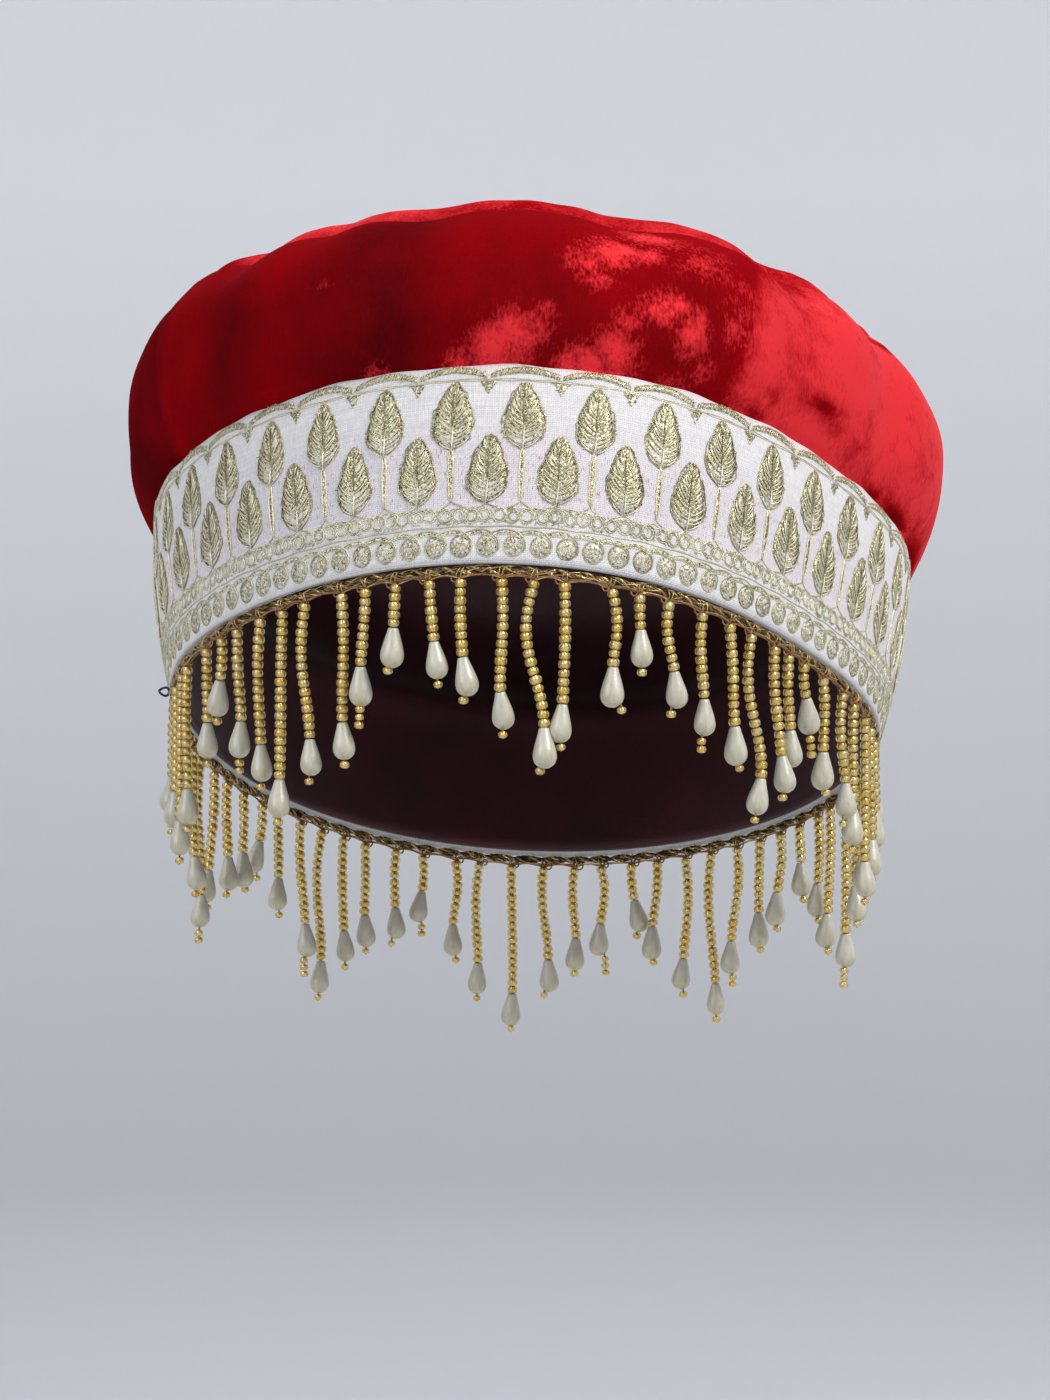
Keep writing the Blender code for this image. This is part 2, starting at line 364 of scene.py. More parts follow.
def makeVelvet():
    # painted light: the nap mark paints shade where the pile turns away from the light and a bright satin
    # sheen where it lies towards it; crush marks patches pressed flat, painted with a brighter sheen
    material, tree, shader = newMaterial("crushedVelvet", colors["velvetRed"], 0.6, **{
        "Sheen Weight": 0.10, "Sheen Roughness": 0.35, "Sheen Tint": (1.0, 0.08, 0.10, 1.0),
        "Specular IOR Level": 0.0})
    spot = coordinates(tree)
    napLight, crush = marked(tree, "napLight"), marked(tree, "crush")
    fibres = noise(tree, drawnOut(tree, spot, (1.0, 1.0, 0.4), (0.0, 0.4, 0.0)), 1500.0, 2.0, 0.6)
    blots = noise(tree, spot, 170.0, 4.0, 0.65, 0.3)
    clouds = noise(tree, spot, 45.0, 3.0, 0.55)

    def sway(amount, value):
        return times(tree, arithmetic(tree, "SUBTRACT", value, 0.5), amount)

    ruffled = plus(tree, sway(1.2, fibres), sway(1.2, blots))
    # crushed patches: the pile pressed flat, shown with a painted sheen
    pileSheen = times(tree, ramp(tree, plus(tree, crush, ruffled), 0.16, 0.86), ramp(tree, crush, 0.03, 0.16))
    sheenBreaks = plus(tree, sway(0.9, clouds), plus(tree, sway(0.7, fibres), sway(1.0, blots)))
    # painted sheen: bright satin red where the nap lies towards the light, its edge broken up by noise
    satin = times(tree, ramp(tree, plus(tree, napLight, sheenBreaks), 0.24, 0.82), ramp(tree, napLight, 0.24, 0.42))
    shade = plus(tree, napLight, plus(tree, sway(0.35, clouds), sway(0.12, fibres)))
    # painted shade: darker red where the nap turns away from the light
    color = blendColors(tree, ramp(tree, shade, 0.0, 0.34), colors["velvetShade"], colors["velvetRed"])
    uneven = times(tree, satin, ramp(tree, clouds, 0.3, 0.6, 0.86, 1.0))
    color = blendColors(tree, uneven, color, colors["velvetPaintedSheen"])
    tree.links.new(blendColors(tree, pileSheen, color, colors["velvetCrushedSheen"]), shader["Base Color"])
    flat = arithmetic(tree, "MAXIMUM", pileSheen, satin)
    tree.links.new(ramp(tree, flat, 0.0, 1.0, 0.8, 0.45), shader["Roughness"])
    tree.links.new(times(tree, flat, 0.3), shader["Metallic"])
    height = plus(tree, times(tree, fibres, 0.25), blots)
    tree.links.new(relief(tree, height, 0.3, 0.0008), shader["Normal"])
    return material


def makeBandCloth():
    material, tree, shader = newMaterial("ivoryCloth", colors["cloth"], 0.7, **{"Sheen Weight": 0.15})
    flat = addNode(tree, "ShaderNodeUVMap", uv_map="cloth").outputs["UV"]
    threads = 0.00046  # from thread to thread
    counts = (bandLength / threads, cap["bandHeight"] / threads, 1.0)
    inputs = {"Vector": drawnOut(tree, flat, counts)}
    woven = addNode(tree, "ShaderNodeGroup", inputs, node_tree=plainWeave).outputs
    up = addNode(tree, "ShaderNodeSeparateXYZ", {"Vector": flat}).outputs[1]
    tint = times(tree, ramp(tree, up, 0.82, 0.5), ramp(tree, up, 0.22, 0.32))
    cloudy = ramp(tree, noise(tree, coordinates(tree), 90.0, 2.0), 0.25, 0.65, 0.45, 1.0)
    color = blendColors(tree, times(tree, tint, cloudy), colors["cloth"], colors["clothTint"])
    # warp threads that took up a little dye from the ground behind
    drawn = noise(tree, drawnOut(tree, flat, (2500.0, 26.0, 1.0)), 1.0, 1.0)
    dyed = times(tree, ramp(tree, drawn, 0.63, 0.68), ramp(tree, tint, 0.3, 0.8))
    color = blendColors(tree, dyed, color, colors["clothDye"])
    # thicker and thinner threads both ways
    for scale in ((1300.0, 14.0, 1.0), (60.0, 110.0, 1.0)):
        slubs = noise(tree, drawnOut(tree, flat, scale), 1.0, 1.0)
        color = blendColors(tree, ramp(tree, slubs, 0.38, 0.62, 0.4, 0.0), color, colors["clothSlub"])
    color = blendColors(tree, times(tree, woven["Holes"], 0.6), color, colors["clothHole"])
    tree.links.new(color, shader["Base Color"])
    tree.links.new(relief(tree, woven["Height"], 0.5, 0.00014), shader["Normal"])
    return material


def makeLiningCloth():
    material, tree, shader = newMaterial("maroonLining", colors["liningLight"], 0.6, **{"Sheen Weight": 0.2})
    spot = coordinates(tree)
    patches = ramp(tree, noise(tree, spot, 30.0, 3.0), 0.3, 0.7)
    color = blendColors(tree, patches, colors["liningDark"], colors["liningLight"])
    tree.links.new(color, shader["Base Color"])
    tree.links.new(relief(tree, noise(tree, spot, 700.0, 2.0), 0.3, 0.0004), shader["Normal"])
    return material


def makeMetalThread(name, dull, bright, scale, metallic, roughness):
    material, tree, shader = newMaterial(name, colors[bright], roughness, Metallic=metallic)
    inputs = {"Vector": coordinates(tree), "Scale": scale}
    shine = addNode(tree, "ShaderNodeGroup", inputs, node_tree=glitter).outputs
    # painted glints from the glitter mask, with each thread's own tone, blend from the dull colour to the
    # bright
    share = plus(tree, times(tree, shine["Bright"], 0.35), times(tree, marked(tree, "tone"), 0.75))
    tree.links.new(blendColors(tree, share, colors[dull], colors[bright]), shader["Base Color"])
    uneven = ramp(tree, shine["Bright"], 0.0, 1.0, roughness + 0.14, roughness - 0.08)
    tree.links.new(uneven, shader["Roughness"])
    tree.links.new(relief(tree, shine["Height"], 0.6, 0.0002), shader["Normal"])
    return material


def makeLaidStitches():
    # close tiny stitches of metal thread with painted glints, and the cloth between them where tone is high
    material, tree, shader = newMaterial("laidGoldThread", colors["stitchGold"], 0.3, Metallic=0.5)
    spot = coordinates(tree)
    grain = noise(tree, spot, 2900.0, 1.0)
    glints = noise(tree, spot, 2300.0, 2.0, 0.6, 0.4)
    color = blendColors(tree, ramp(tree, grain, 0.43, 0.56), colors["stitchDark"], colors["stitchGold"])
    # painted glints: near-white specks over the stitches
    color = blendColors(tree, ramp(tree, glints, 0.53, 0.62), color, colors["stitchPaintedGlint"])
    gaps = plus(tree, noise(tree, spot, 1500.0, 2.0), times(tree, marked(tree, "tone"), 0.35))
    between = ramp(tree, gaps, 0.66, 0.74)
    tree.links.new(blendColors(tree, between, color, colors["clothBetween"]), shader["Base Color"])
    tree.links.new(ramp(tree, between, 0.0, 1.0, 0.55, 0.0), shader["Metallic"])
    tree.links.new(relief(tree, grain, 0.7, 0.00025), shader["Normal"])
    return material


def makeBeadGlass():
    # clear honey glass, lit from inside by the silvered hole
    material, tree, shader = newMaterial("honeyGlass", colors["glassLight"], 0.06, **{
        "Transmission Weight": 0.85, "IOR": 1.5})
    spots = noise(tree, coordinates(tree), 900.0, 2.0)
    color = blendColors(tree, marked(tree, "tone"), colors["glassDark"], colors["glassLight"])
    color = blendColors(tree, ramp(tree, spots, 0.5, 0.75, 0.0, 0.4), color, colors["glassSpot"])
    tree.links.new(color, shader["Base Color"])
    tree.links.new(ramp(tree, spots, 0.3, 0.7, 0.03, 0.14), shader["Roughness"])
    return material


def makeSilvering():
    material, tree, shader = newMaterial("silvering", colors["silverPale"], 0.25, Metallic=0.8)
    spots = noise(tree, coordinates(tree), 1300.0, 2.0)
    color = blendColors(tree, ramp(tree, spots, 0.35, 0.65), colors["silverWarm"], colors["silverPale"])
    tree.links.new(color, shader["Base Color"])
    tree.links.new(ramp(tree, spots, 0.3, 0.7, 0.14, 0.34), shader["Roughness"])
    return material


def makePearl():
    # a satin skin over ivory, a little yellower round the lower end, with faint painted highlight streaks
    # down it
    material, tree, shader = newMaterial("satinPearl", colors["pearl"], 0.36, **{
        "Metallic": 0.1, "Coat Weight": 0.6, "Coat Roughness": 0.3})
    spot = coordinates(tree)
    highlightStreaks = noise(tree, drawnOut(tree, spot, (1.0, 1.0, 0.3)), 900.0, 3.0, 0.6)
    low = ramp(tree, marked(tree, "down"), 0.45, 1.0)
    color = blendColors(tree, low, colors["pearl"], colors["pearlEnd"])
    # painted highlight: lighter streaks down the pearl
    color = blendColors(tree, ramp(tree, highlightStreaks, 0.35, 0.7, 0.0, 0.5), color, colors["pearlPaintedHighlight"])
    tree.links.new(color, shader["Base Color"])
    tree.links.new(ramp(tree, highlightStreaks, 0.3, 0.7, 0.26, 0.44), shader["Roughness"])
    tree.links.new(relief(tree, noise(tree, spot, 900.0, 3.0, 0.6), 0.4, 0.0004), shader["Normal"])
    return material


def makePlainThread(name, dark, light, roughness=0.65):
    material, tree, shader = newMaterial(name, colors[light], roughness)
    fibres = noise(tree, coordinates(tree), 2600.0, 2.0)
    color = blendColors(tree, ramp(tree, fibres, 0.35, 0.65), colors[dark], colors[light])
    tree.links.new(color, shader["Base Color"])
    tree.links.new(relief(tree, fibres, 0.5, 0.0002), shader["Normal"])
    return material


velvet = makeVelvet()
bandCloth = makeBandCloth()
liningCloth = makeLiningCloth()
zari = makeMetalThread("paleGoldThread", "zariDull", "zariBright", 2200.0, 0.6, 0.25)
laidStitches = makeLaidStitches()
braidGold = makeMetalThread("darkGoldThread", "braidDull", "braidBright", 1100.0, 0.85, 0.24)
beadGlass = makeBeadGlass()
silvering = makeSilvering()
pearlLook = makePearl()
stringThread = makePlainThread("stringThread", "stringDark", "stringLight")
copperThread = makePlainThread("copperThread", "copperDark", "copperLight", 0.45)
navyCotton = makePlainThread("navyCotton", "navyDark", "navyLight")
print("materials made:", len(bpy.data.materials))


# making pieces

def finishPiece(obj, look, slot, *nodes):
    obj.data.materials.clear()
    obj.data.materials.append(look)
    obj.data.shade_smooth()
    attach(obj, "root")
    if nodes:
        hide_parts(*nodes)
    return obj


def objectFrom(name, mesh):
    obj = bpy.data.objects.new(name, mesh)
    bpy.context.scene.collection.objects.link(obj)
    return obj


def objectFromBmesh(name, bm):
    mesh = bpy.data.meshes.new(name)
    bm.to_mesh(mesh)
    bm.free()
    return objectFrom(name, mesh)


def markPoints(mesh, name, values):
    mesh.attributes.new(name, "FLOAT", "POINT").data.foreach_set("value", values.astype(np.float32))


def rolledSheet(name, around, rows, pointAt, marks=(), wall=None):
    # a flat grid with its own map, rolled round the cap's axis: pointAt places each angle and share up
    bm = bmesh.new()
    bm.loops.layers.uv.new("cloth")
    bmesh.ops.create_grid(bm, x_segments=around, y_segments=rows, size=0.5, calc_uvs=True)
    layers = [bm.verts.layers.float.new(mark) for mark, _ in marks]
    flat = np.array([vert.co for vert in bm.verts]) + 0.5
    angle, share = 2 * math.pi * flat[:, 0], flat[:, 1]
    rolled = pointAt(angle, share) @ tip.T
    amounts = [markAt(angle, share) for _, markAt in marks]
    for k, vert in enumerate(bm.verts):
        vert.co = rolled[k]
        for layer, amount in zip(layers, amounts):
            vert[layer] = amount[k]
    bmesh.ops.remove_doubles(bm, verts=bm.verts, dist=1e-6)
    bmesh.ops.recalc_face_normals(bm, faces=bm.faces)
    obj = objectFromBmesh(name, bm)
    if wall:
        thickness = obj.modifiers.new("Wall", "SOLIDIFY")
        thickness.thickness = wall
        thickness.offset = -1.0
        thickness.use_even_offset = True
    return obj


def template(bm):
    bm.verts.index_update()
    points = np.array([vert.co for vert in bm.verts])
    faces = [[vert.index for vert in face.verts] for face in bm.faces]
    bm.free()
    return points, faces


def tube(sides, steps, ends=0.0, closed=False):
    # a tube of radius 1 up Z from 0 to 1, thinner at its ends where ends says so
    bm = bmesh.new()
    bmesh.ops.create_cone(bm, cap_ends=not closed, segments=sides, radius1=1.0, radius2=1.0, depth=1.0,
                          matrix=Matrix.Translation((0.0, 0.0, 0.5)))
    for step in range(1, steps):
        bmesh.ops.bisect_plane(bm, geom=bm.verts[:] + bm.edges[:] + bm.faces[:], dist=1e-7,
                               plane_co=(0.0, 0.0, step / steps), plane_no=(0.0, 0.0, 1.0))
    for vert in bm.verts:
        if vert.co.z < 1e-6 or vert.co.z > 1.0 - 1e-6:
            vert.co.xy *= 1.0 - ends
    return template(bm)


def unit(vectors):
    return vectors / np.maximum(np.linalg.norm(vectors, axis=-1, keepdims=True), 1e-12)


def alongPaths(shape, centres, ups, radius, flat=1.0, closed=False):
    # copies of a tube, each bent along its own path; the paths' points are the tube's steps
    points, _ = shape
    steps = centres.shape[1] - 1
    way = np.gradient(centres, axis=1)
    if closed:
        way[:, 0] = way[:, -1] = centres[:, 1] - centres[:, -2]
    way = unit(way)
    up = unit(ups - (ups * way).sum(-1, keepdims=True) * way)
    side = np.cross(up, way)
    k = np.rint(points[:, 2] * steps).astype(int)
    wide = np.broadcast_to(np.asarray(radius, float).reshape(-1, 1, 1), (len(centres), 1, 1))
    return centres[:, k] + wide * (points[:, 0, None] * side[:, k] + flat * points[:, 1, None] * up[:, k])


def joinCopies(name, groups, weld=False):
    # one mesh of many copies: a group is a template, its copies' points and a tone for each copy or point
    points, faces, tones, start = [], [], [], 0
    for (shape, shapeFaces), placed, tone in groups:
        count = len(shape)
        points.append(placed.reshape(-1, 3))
        faces += [[start + k * count + i for i in face] for k in range(len(placed)) for face in shapeFaces]
        tones.append(np.repeat(tone, count) if np.ndim(tone) == 1 else np.ravel(tone))
        start += len(placed) * count
    mesh = bpy.data.meshes.new(name)
    mesh.from_pydata(np.concatenate(points) @ tip.T, [], faces)
    markPoints(mesh, "tone", np.concatenate(tones))
    if weld:
        bm = bmesh.new()
        bm.from_mesh(mesh)
        bmesh.ops.remove_doubles(bm, verts=bm.verts, dist=1e-6)
        bm.to_mesh(mesh)
        bm.free()
    return objectFrom(name, mesh)


def joinPiece(name, groups, look, slot, *nodes, weld=False):
    return finishPiece(joinCopies(name, groups, weld), look, slot, *nodes)


# crown of velvet

crown = {
    "around": 540,
    "sideRows": 34,
    "topRings": 30,
    "tuck": 0.0030,
    "tuckShare": 0.06,
    "seamTurn": 0.0016,  # how far the edges turn into the seam
    "puckers": 46,
    "puckerDepth": 0.00016,
    "rippleDepth": 0.00040,
    "pressedSeam": (-61.5, 1.1, 0.0007),  # a pressed line up the left of the side: middle, half width, depth
    # patches of pile pressed flat, which the velvet shows with a painted sheen
    # middle in degrees, share up, half width in degrees, half height as a share, strength
    "crushed": (
        (-10.5, 0.03, 2.4, 0.06, 0.48), (-7.0, 0.10, 2.8, 0.10, 0.60), (-4.0, 0.16, 2.6, 0.12, 0.58),
        (-1.5, 0.20, 2.2, 0.12, 0.36), (2.5, 0.06, 2.0, 0.07, 0.48), (4.0, 0.57, 2.6, 0.08, 0.42),
        (5.0, 0.05, 2.3, 0.08, 0.66), (8.0, 0.12, 2.6, 0.12, 0.52), (9.0, 0.27, 2.0, 0.07, 0.34),
        (5.0, 0.50, 2.4, 0.09, 0.26), (6.5, 0.66, 3.4, 0.09, 0.46), (8.0, 0.69, 2.0, 0.05, 0.62),
        (11.5, 0.68, 2.0, 0.05, 0.44), (11.5, 0.83, 4.5, 0.09, 0.32), (13.0, 0.38, 4.5, 0.10, 0.34),
        (15.0, 0.40, 2.4, 0.05, 0.42), (17.5, 0.28, 1.8, 0.12, 0.50), (18.0, 0.70, 4.0, 0.12, 0.26),
        (19.5, 0.14, 1.5, 0.05, 0.30), (16.5, 0.03, 3.0, 0.05, 0.26), (23.5, 0.45, 3.0, 0.20, 0.20),
        (-22.0, 0.05, 1.6, 0.05, 0.22), (-28.0, 0.50, 2.0, 0.03, 0.16), (112.0, 0.20, 5.0, 0.10, 0.40),
        (140.0, 0.35, 9.0, 0.20, 0.46), (158.0, 0.72, 6.0, 0.10, 0.40), (-150.0, 0.55, 8.0, 0.18, 0.44),
        (176.0, 0.18, 8.0, 0.12, 0.50), (-128.0, 0.20, 6.0, 0.10, 0.38), (-112.0, 0.6, 5.0, 0.12, 0.34),
        (-168.0, 0.8, 6.0, 0.08, 0.42),
    ),
    "crushStrength": 1.55,
    # places where painted shade takes the place of the painted sheen, at the seam's turn-in, along the band's
    # top edge and in blotches: middle, share up, half width, half height, strength
    "sheenBreaks": (
        (29.5, 0.04, 2.2, 0.06, 0.72), (31.8, 0.15, 0.9, 0.07, 0.55), (41.0, 0.22, 4.0, 0.055, 0.80),
        (45.0, 0.17, 2.4, 0.05, 0.55), (51.0, 0.15, 3.6, 0.09, 0.52), (61.0, 0.03, 4.0, 0.06, 0.80),
        (70.0, 0.04, 8.0, 0.08, 0.85), (84.0, 0.04, 12.0, 0.14, 0.75), (33.0, 0.96, 11.0, 0.19, 0.58),
        (50.0, 0.99, 10.0, 0.06, 0.60), (62.0, 0.90, 9.0, 0.035, 0.70), (73.0, 0.94, 6.0, 0.04, 0.75),
        (79.0, 0.91, 3.2, 0.07, 0.85), (88.0, 0.45, 4.0, 0.10, 0.30), (97.0, 0.20, 5.0, 0.12, 0.60),
    ),
    # painted light round the side, how far the nap lies towards the light: angle in degrees and amount; low
    # amounts give painted shade, high ones the painted satin sheen
    "napLight": ((-180, 0.50), (-164, 0.62), (-150, 0.20), (-120, 0.16), (-100, 0.10), (-66, 0.03), (-61, 0.06),
            (-58, 0.23), (-50, 0.18), (-44, 0.12), (-36, 0.20), (-28, 0.13), (-19, 0.03), (-12, 0.19),
            (-4, 0.22), (12, 0.24), (25, 0.25), (29.5, 0.80), (48, 0.83), (62, 0.80), (84, 0.82),
            (104, 0.76), (112, 0.30), (132, 0.24), (148, 0.28), (160, 0.34), (180, 0.50)),
    "napLean": 4.5,  # degrees that the nap's edges lean from band to seam
}


def ripples(angle, share):
    # shallow waves of the cloth between its folds
    waves = np.sin(7 * angle + 2.1 * share + 0.4) + 0.8 * np.sin(13 * angle - 3.4 * share + 1.9)
    waves = waves + 0.5 * np.sin(23 * angle + 5.0 * share + 0.7)
    return crown["rippleDepth"] * waves


def puckers(angle, near):
    # gathers that the seam pulls into both edges
    uneven = 0.65 + 0.35 * np.sin(9 * angle + 1.0)
    waves = np.cos(crown["puckers"] * angle + 1.7 * np.sin(5 * angle)) * uneven
    return crown["puckerDepth"] * waves * near


def velvetSidePoint(angle, share):
    tuckShare = crown["tuckShare"]
    up = mix(cap["sideRows"][0][0], 1.0, np.clip((share - tuckShare) / (1 - tuckShare), 0.0, 1.0))
    middle, half, depth = crown["pressedSeam"]
    pressed = depth * np.exp(-(((np.degrees(angle) - 360.0 - middle) / half) ** 2)) * smoothStep(0.0, 0.2, up)
    turnIn = crown["seamTurn"] * smoothStep(0.93, 1.0, up) ** 2
    waves = ripples(angle, up) * smoothStep(0.05, 0.4, up) * smoothStep(1.0, 0.8, up)
    side = sidePoint(angle, up, turnIn + pressed + waves + puckers(angle, smoothStep(0.6, 0.97, up)))
    low = 1.0 - crown["tuck"] / cap["bandHeight"]
    high = 1.0 + cap["gap"] / cap["bandHeight"]
    climb = np.clip(share / (tuckShare * 0.7), 0.0, 1.0)
    hidden = bandPoint(angle, mix(low, high, climb), cap["bandWall"] + cap["gap"])
    return np.where((share < tuckShare * 0.75)[:, None], hidden, side)


def velvetTopPoint(angle, share):
    out = cap["topRows"][-1][0] * (1.0 - share)
    drop = crown["seamTurn"] * smoothStep(0.96, 0.993, out) ** 2
    waves = ripples(angle + 0.6, out) * 1.2 * smoothStep(0.0, 0.5, out) * smoothStep(1.0, 0.8, out)
    return topPoint(angle, out, drop + waves + puckers(angle, smoothStep(0.78, 0.97, out)))


def patchesAt(table, angle, up):
    total = np.zeros_like(angle)
    for middle, height, half, halfHeight, strength in table:
        away = (np.degrees(angle) - middle + 180.0) % 360.0 - 180.0
        near = np.exp(-((away / half) ** 2) - ((up - height) / halfHeight) ** 2)
        total = np.maximum(total, strength * near)
    return total


def napLightAt(angle, up):
    # painted shade and sheen round the side, darkened again at the listed patches
    degrees = (np.degrees(angle) + crown["napLean"] * (0.5 - up) + 180.0) % 360.0 - 180.0
    places, amounts = np.array(crown["napLight"]).T
    return np.interp(degrees, places, amounts) * (1.0 - patchesAt(crown["sheenBreaks"], angle, up))


def crushAt(angle, up):
    return crown["crushStrength"] * patchesAt(crown["crushed"], angle, up)


def topNapLightAt(angle, share):
    # painted light on the top: its nap runs one way across the cloth, so that the painted sheen turns from
    # lying to standing across the crown
    out = 1.0 - share
    across = out * np.sin(angle + 0.5)
    away = (np.degrees(angle) - 36.0 + 180.0) % 360.0 - 180.0
    # painted shade towards the seam on the front right
    dark = 0.45 * np.exp(-((away / 20.0) ** 2)) * smoothStep(0.7, 0.9, out)
    pileSheen = 0.52 + 0.45 * across + 0.25 * np.sin(4.0 * across + 3.0 * out * np.cos(angle))
    return np.clip(pileSheen, 0.05, 0.9) * (1.0 - dark)


def topCrushAt(angle, share):
    out = 1.0 - share
    x, y = out * np.sin(angle), -out * np.cos(angle)
    patches = np.sin(6.1 * x + 1.3) * np.sin(5.3 * y + 0.4) + 0.6 * np.sin(9.7 * x - 4.1 * y)
    return 0.4 * smoothStep(0.3, 1.2, patches)


def makeVelvetSide():
    obj = rolledSheet("velvetSide", crown["around"], crown["sideRows"], velvetSidePoint,
                      (("napLight", napLightAt), ("crush", crushAt)), cap["velvetWall"])
    finishPiece(obj, velvet, "velvet", "crown_side")


def makeVelvetTop():
    obj = rolledSheet("velvetTop", crown["around"], crown["topRings"], velvetTopPoint,
                      (("napLight", topNapLightAt), ("crush", topCrushAt)), cap["velvetWall"])
    finishPiece(obj, velvet, "velvet", "crown_top")


# embroidered band

band = {
    "around": 420,
    "rows": 26,
    "edgeWave": 0.00022,
    "trees": 38,
    "treeAt": -0.0050,  # the tall tree nearest the front, from the middle
    "leafHeight": 0.0159,
    "leafHalfWidth": 0.0047,
    # share up the leaf, share of its half width
    "leafOutline": ((0.0, 0.05), (0.07, 0.44), (0.18, 0.86), (0.38, 1.0), (0.60, 0.84), (0.80, 0.57),
                    (0.93, 0.34), (1.0, 0.14)),
    "veins": 9,  # on each half of a leaf
    "steepStitches": 6,
    "leafFlecks": 56,
    "edgeFlecks": 22,
    "tipRing": 0.0009,
    "padRise": 0.00018,
    "padSink": 0.0001,
    "tallFoot": 0.0255,
    "shortFoot": 0.0130,
    "stemFoot": 0.0135,
    "stemGap": 0.00062,
    "rings": 188,
    "ringHeight": 0.0104,
    "ringRadius": 0.00156,
    "coins": 98,
    "coinHeight": 0.0037,
    "coinRadius": 0.0024,
    "coinStitches": 13,
    "coinFlecks": 9,
    # the wave over each coin, outer and inner thread: along in coin spacings, height in metres
    "waveOuter": ((-1.02, 0.0060), (-0.72, 0.0068), (-0.40, 0.0073), (-0.08, 0.0072), (0.18, 0.0066),
                  (0.38, 0.0054), (0.44, 0.0040), (0.38, 0.0026)),
    "waveInner": ((-0.94, 0.0057), (-0.66, 0.0061), (-0.38, 0.0064), (-0.10, 0.0063), (0.12, 0.0060),
                  (0.27, 0.0053)),
    "borderHeight": 0.0423,
    "scallopFoot": 0.0002,  # over the border's upper line
    "scallopRise": 0.0013,
    "scallopInset": 0.0004,
    "scallopStitches": 25,
    "triangleHalfWidth": 0.0021,
    "trianglePad": 0.0019,
    "triangleDrop": 0.0032,
    "triangleFlecks": 16,
    "thread": 0.00016,
    "flatness": 0.92,
}


def makeBandSheet():
    def pointAt(angle, share):
        # the edges run a little uneven, as a turned and stitched strip does
        wave = np.sin(17 * angle) + 0.7 * np.sin(29 * angle + 1.0) + 0.5 * np.sin(47 * angle + 2.0)
        points = bandPoint(angle, share)
        points[:, 2] -= band["edgeWave"] * (1.0 + wave) * smoothStep(0.85, 1.0, share)
        return points

    obj = rolledSheet("bandCloth", band["around"], band["rows"], pointAt, wall=cap["bandWall"])
    finishPiece(obj, bandCloth, "band_cloth", "band")


def sewn(shape, arcs, heights, radius, hump=0.00016, closed=False, over=0.0):
    # threads laid on the band: their points' arcs and heights, one row a thread; over is the pad's height
    share = np.linspace(0.0, 1.0, arcs.shape[1])
    arch = 0.0 if closed else hump * 4 * share * (1 - share)
    lift = over + 0.55 * np.asarray(radius).reshape(-1, 1) + arch
    centres, out = onBand(arcs, heights, np.broadcast_to(lift, arcs.shape))
    return alongPaths(shape, centres, out, radius, band["flatness"], closed)


def stitches(rows, steps=3, over=0.0):
    # short threads from rows of arc, height, arc, height, sideways bow, radius and tone
    rows = np.array(rows)
    share = np.linspace(0.0, 1.0, steps + 1)
    bow = rows[:, 4:5] * 4 * share * (1 - share)
    leaning = np.sign(rows[:, 2:3] - rows[:, 0:1] + 1e-9)
    arcs = mix(rows[:, 0:1], rows[:, 2:3], share) + bow
    heights = mix(rows[:, 1:2], rows[:, 3:4], share) - 0.5 * leaning * bow
    shape = tube(4, steps, 0.45)
    return shape, sewn(shape, arcs, heights, rows[:, 5], over=over), rows[:, 6]


def couched(arcs, heights, radius, closed=False, low=0.4, high=0.9):
    # long threads laid along a path and held down by others
    shape = tube(4, arcs.shape[1] - 1, 0.0, closed)
    radii = np.full(len(arcs), radius)
    return shape, sewn(shape, arcs, heights, radii, 0.0, closed), dice.uniform(low, high, len(arcs))


def fleck(x, z, least=0.00022, most=0.00044):
    # one tiny stitch any way round
    way, half = dice.uniform(0.0, math.pi), dice.uniform(least, most)
    dx, dz = half * math.sin(way), half * math.cos(way)
    return x - dx, z - dz, x + dx, z + dz, 0.0, band["thread"] * 1.2, dice.uniform(0.0, 1.0)


def leafWidth(share):
    return through(band["leafOutline"], np.clip(share, 0.0, 1.0))


def treeRows():
    # where each leaf of both rows stands on the band, how it leans and how wide it is
    pitch = bandLength / band["trees"]
    rows = []
    for name, shift, foot in (("tallTrees", 0.0, band["tallFoot"]), ("shortTrees", 0.5, band["shortFoot"])):
        middles = band["treeAt"] + pitch * (np.arange(band["trees"]) + shift)
        leans = dice.normal(0.0, 0.0004, len(middles))
        wides = band["leafHalfWidth"] * dice.uniform(0.94, 1.04, len(middles))
        rows.append((name, middles, foot, leans, wides))
    return rows


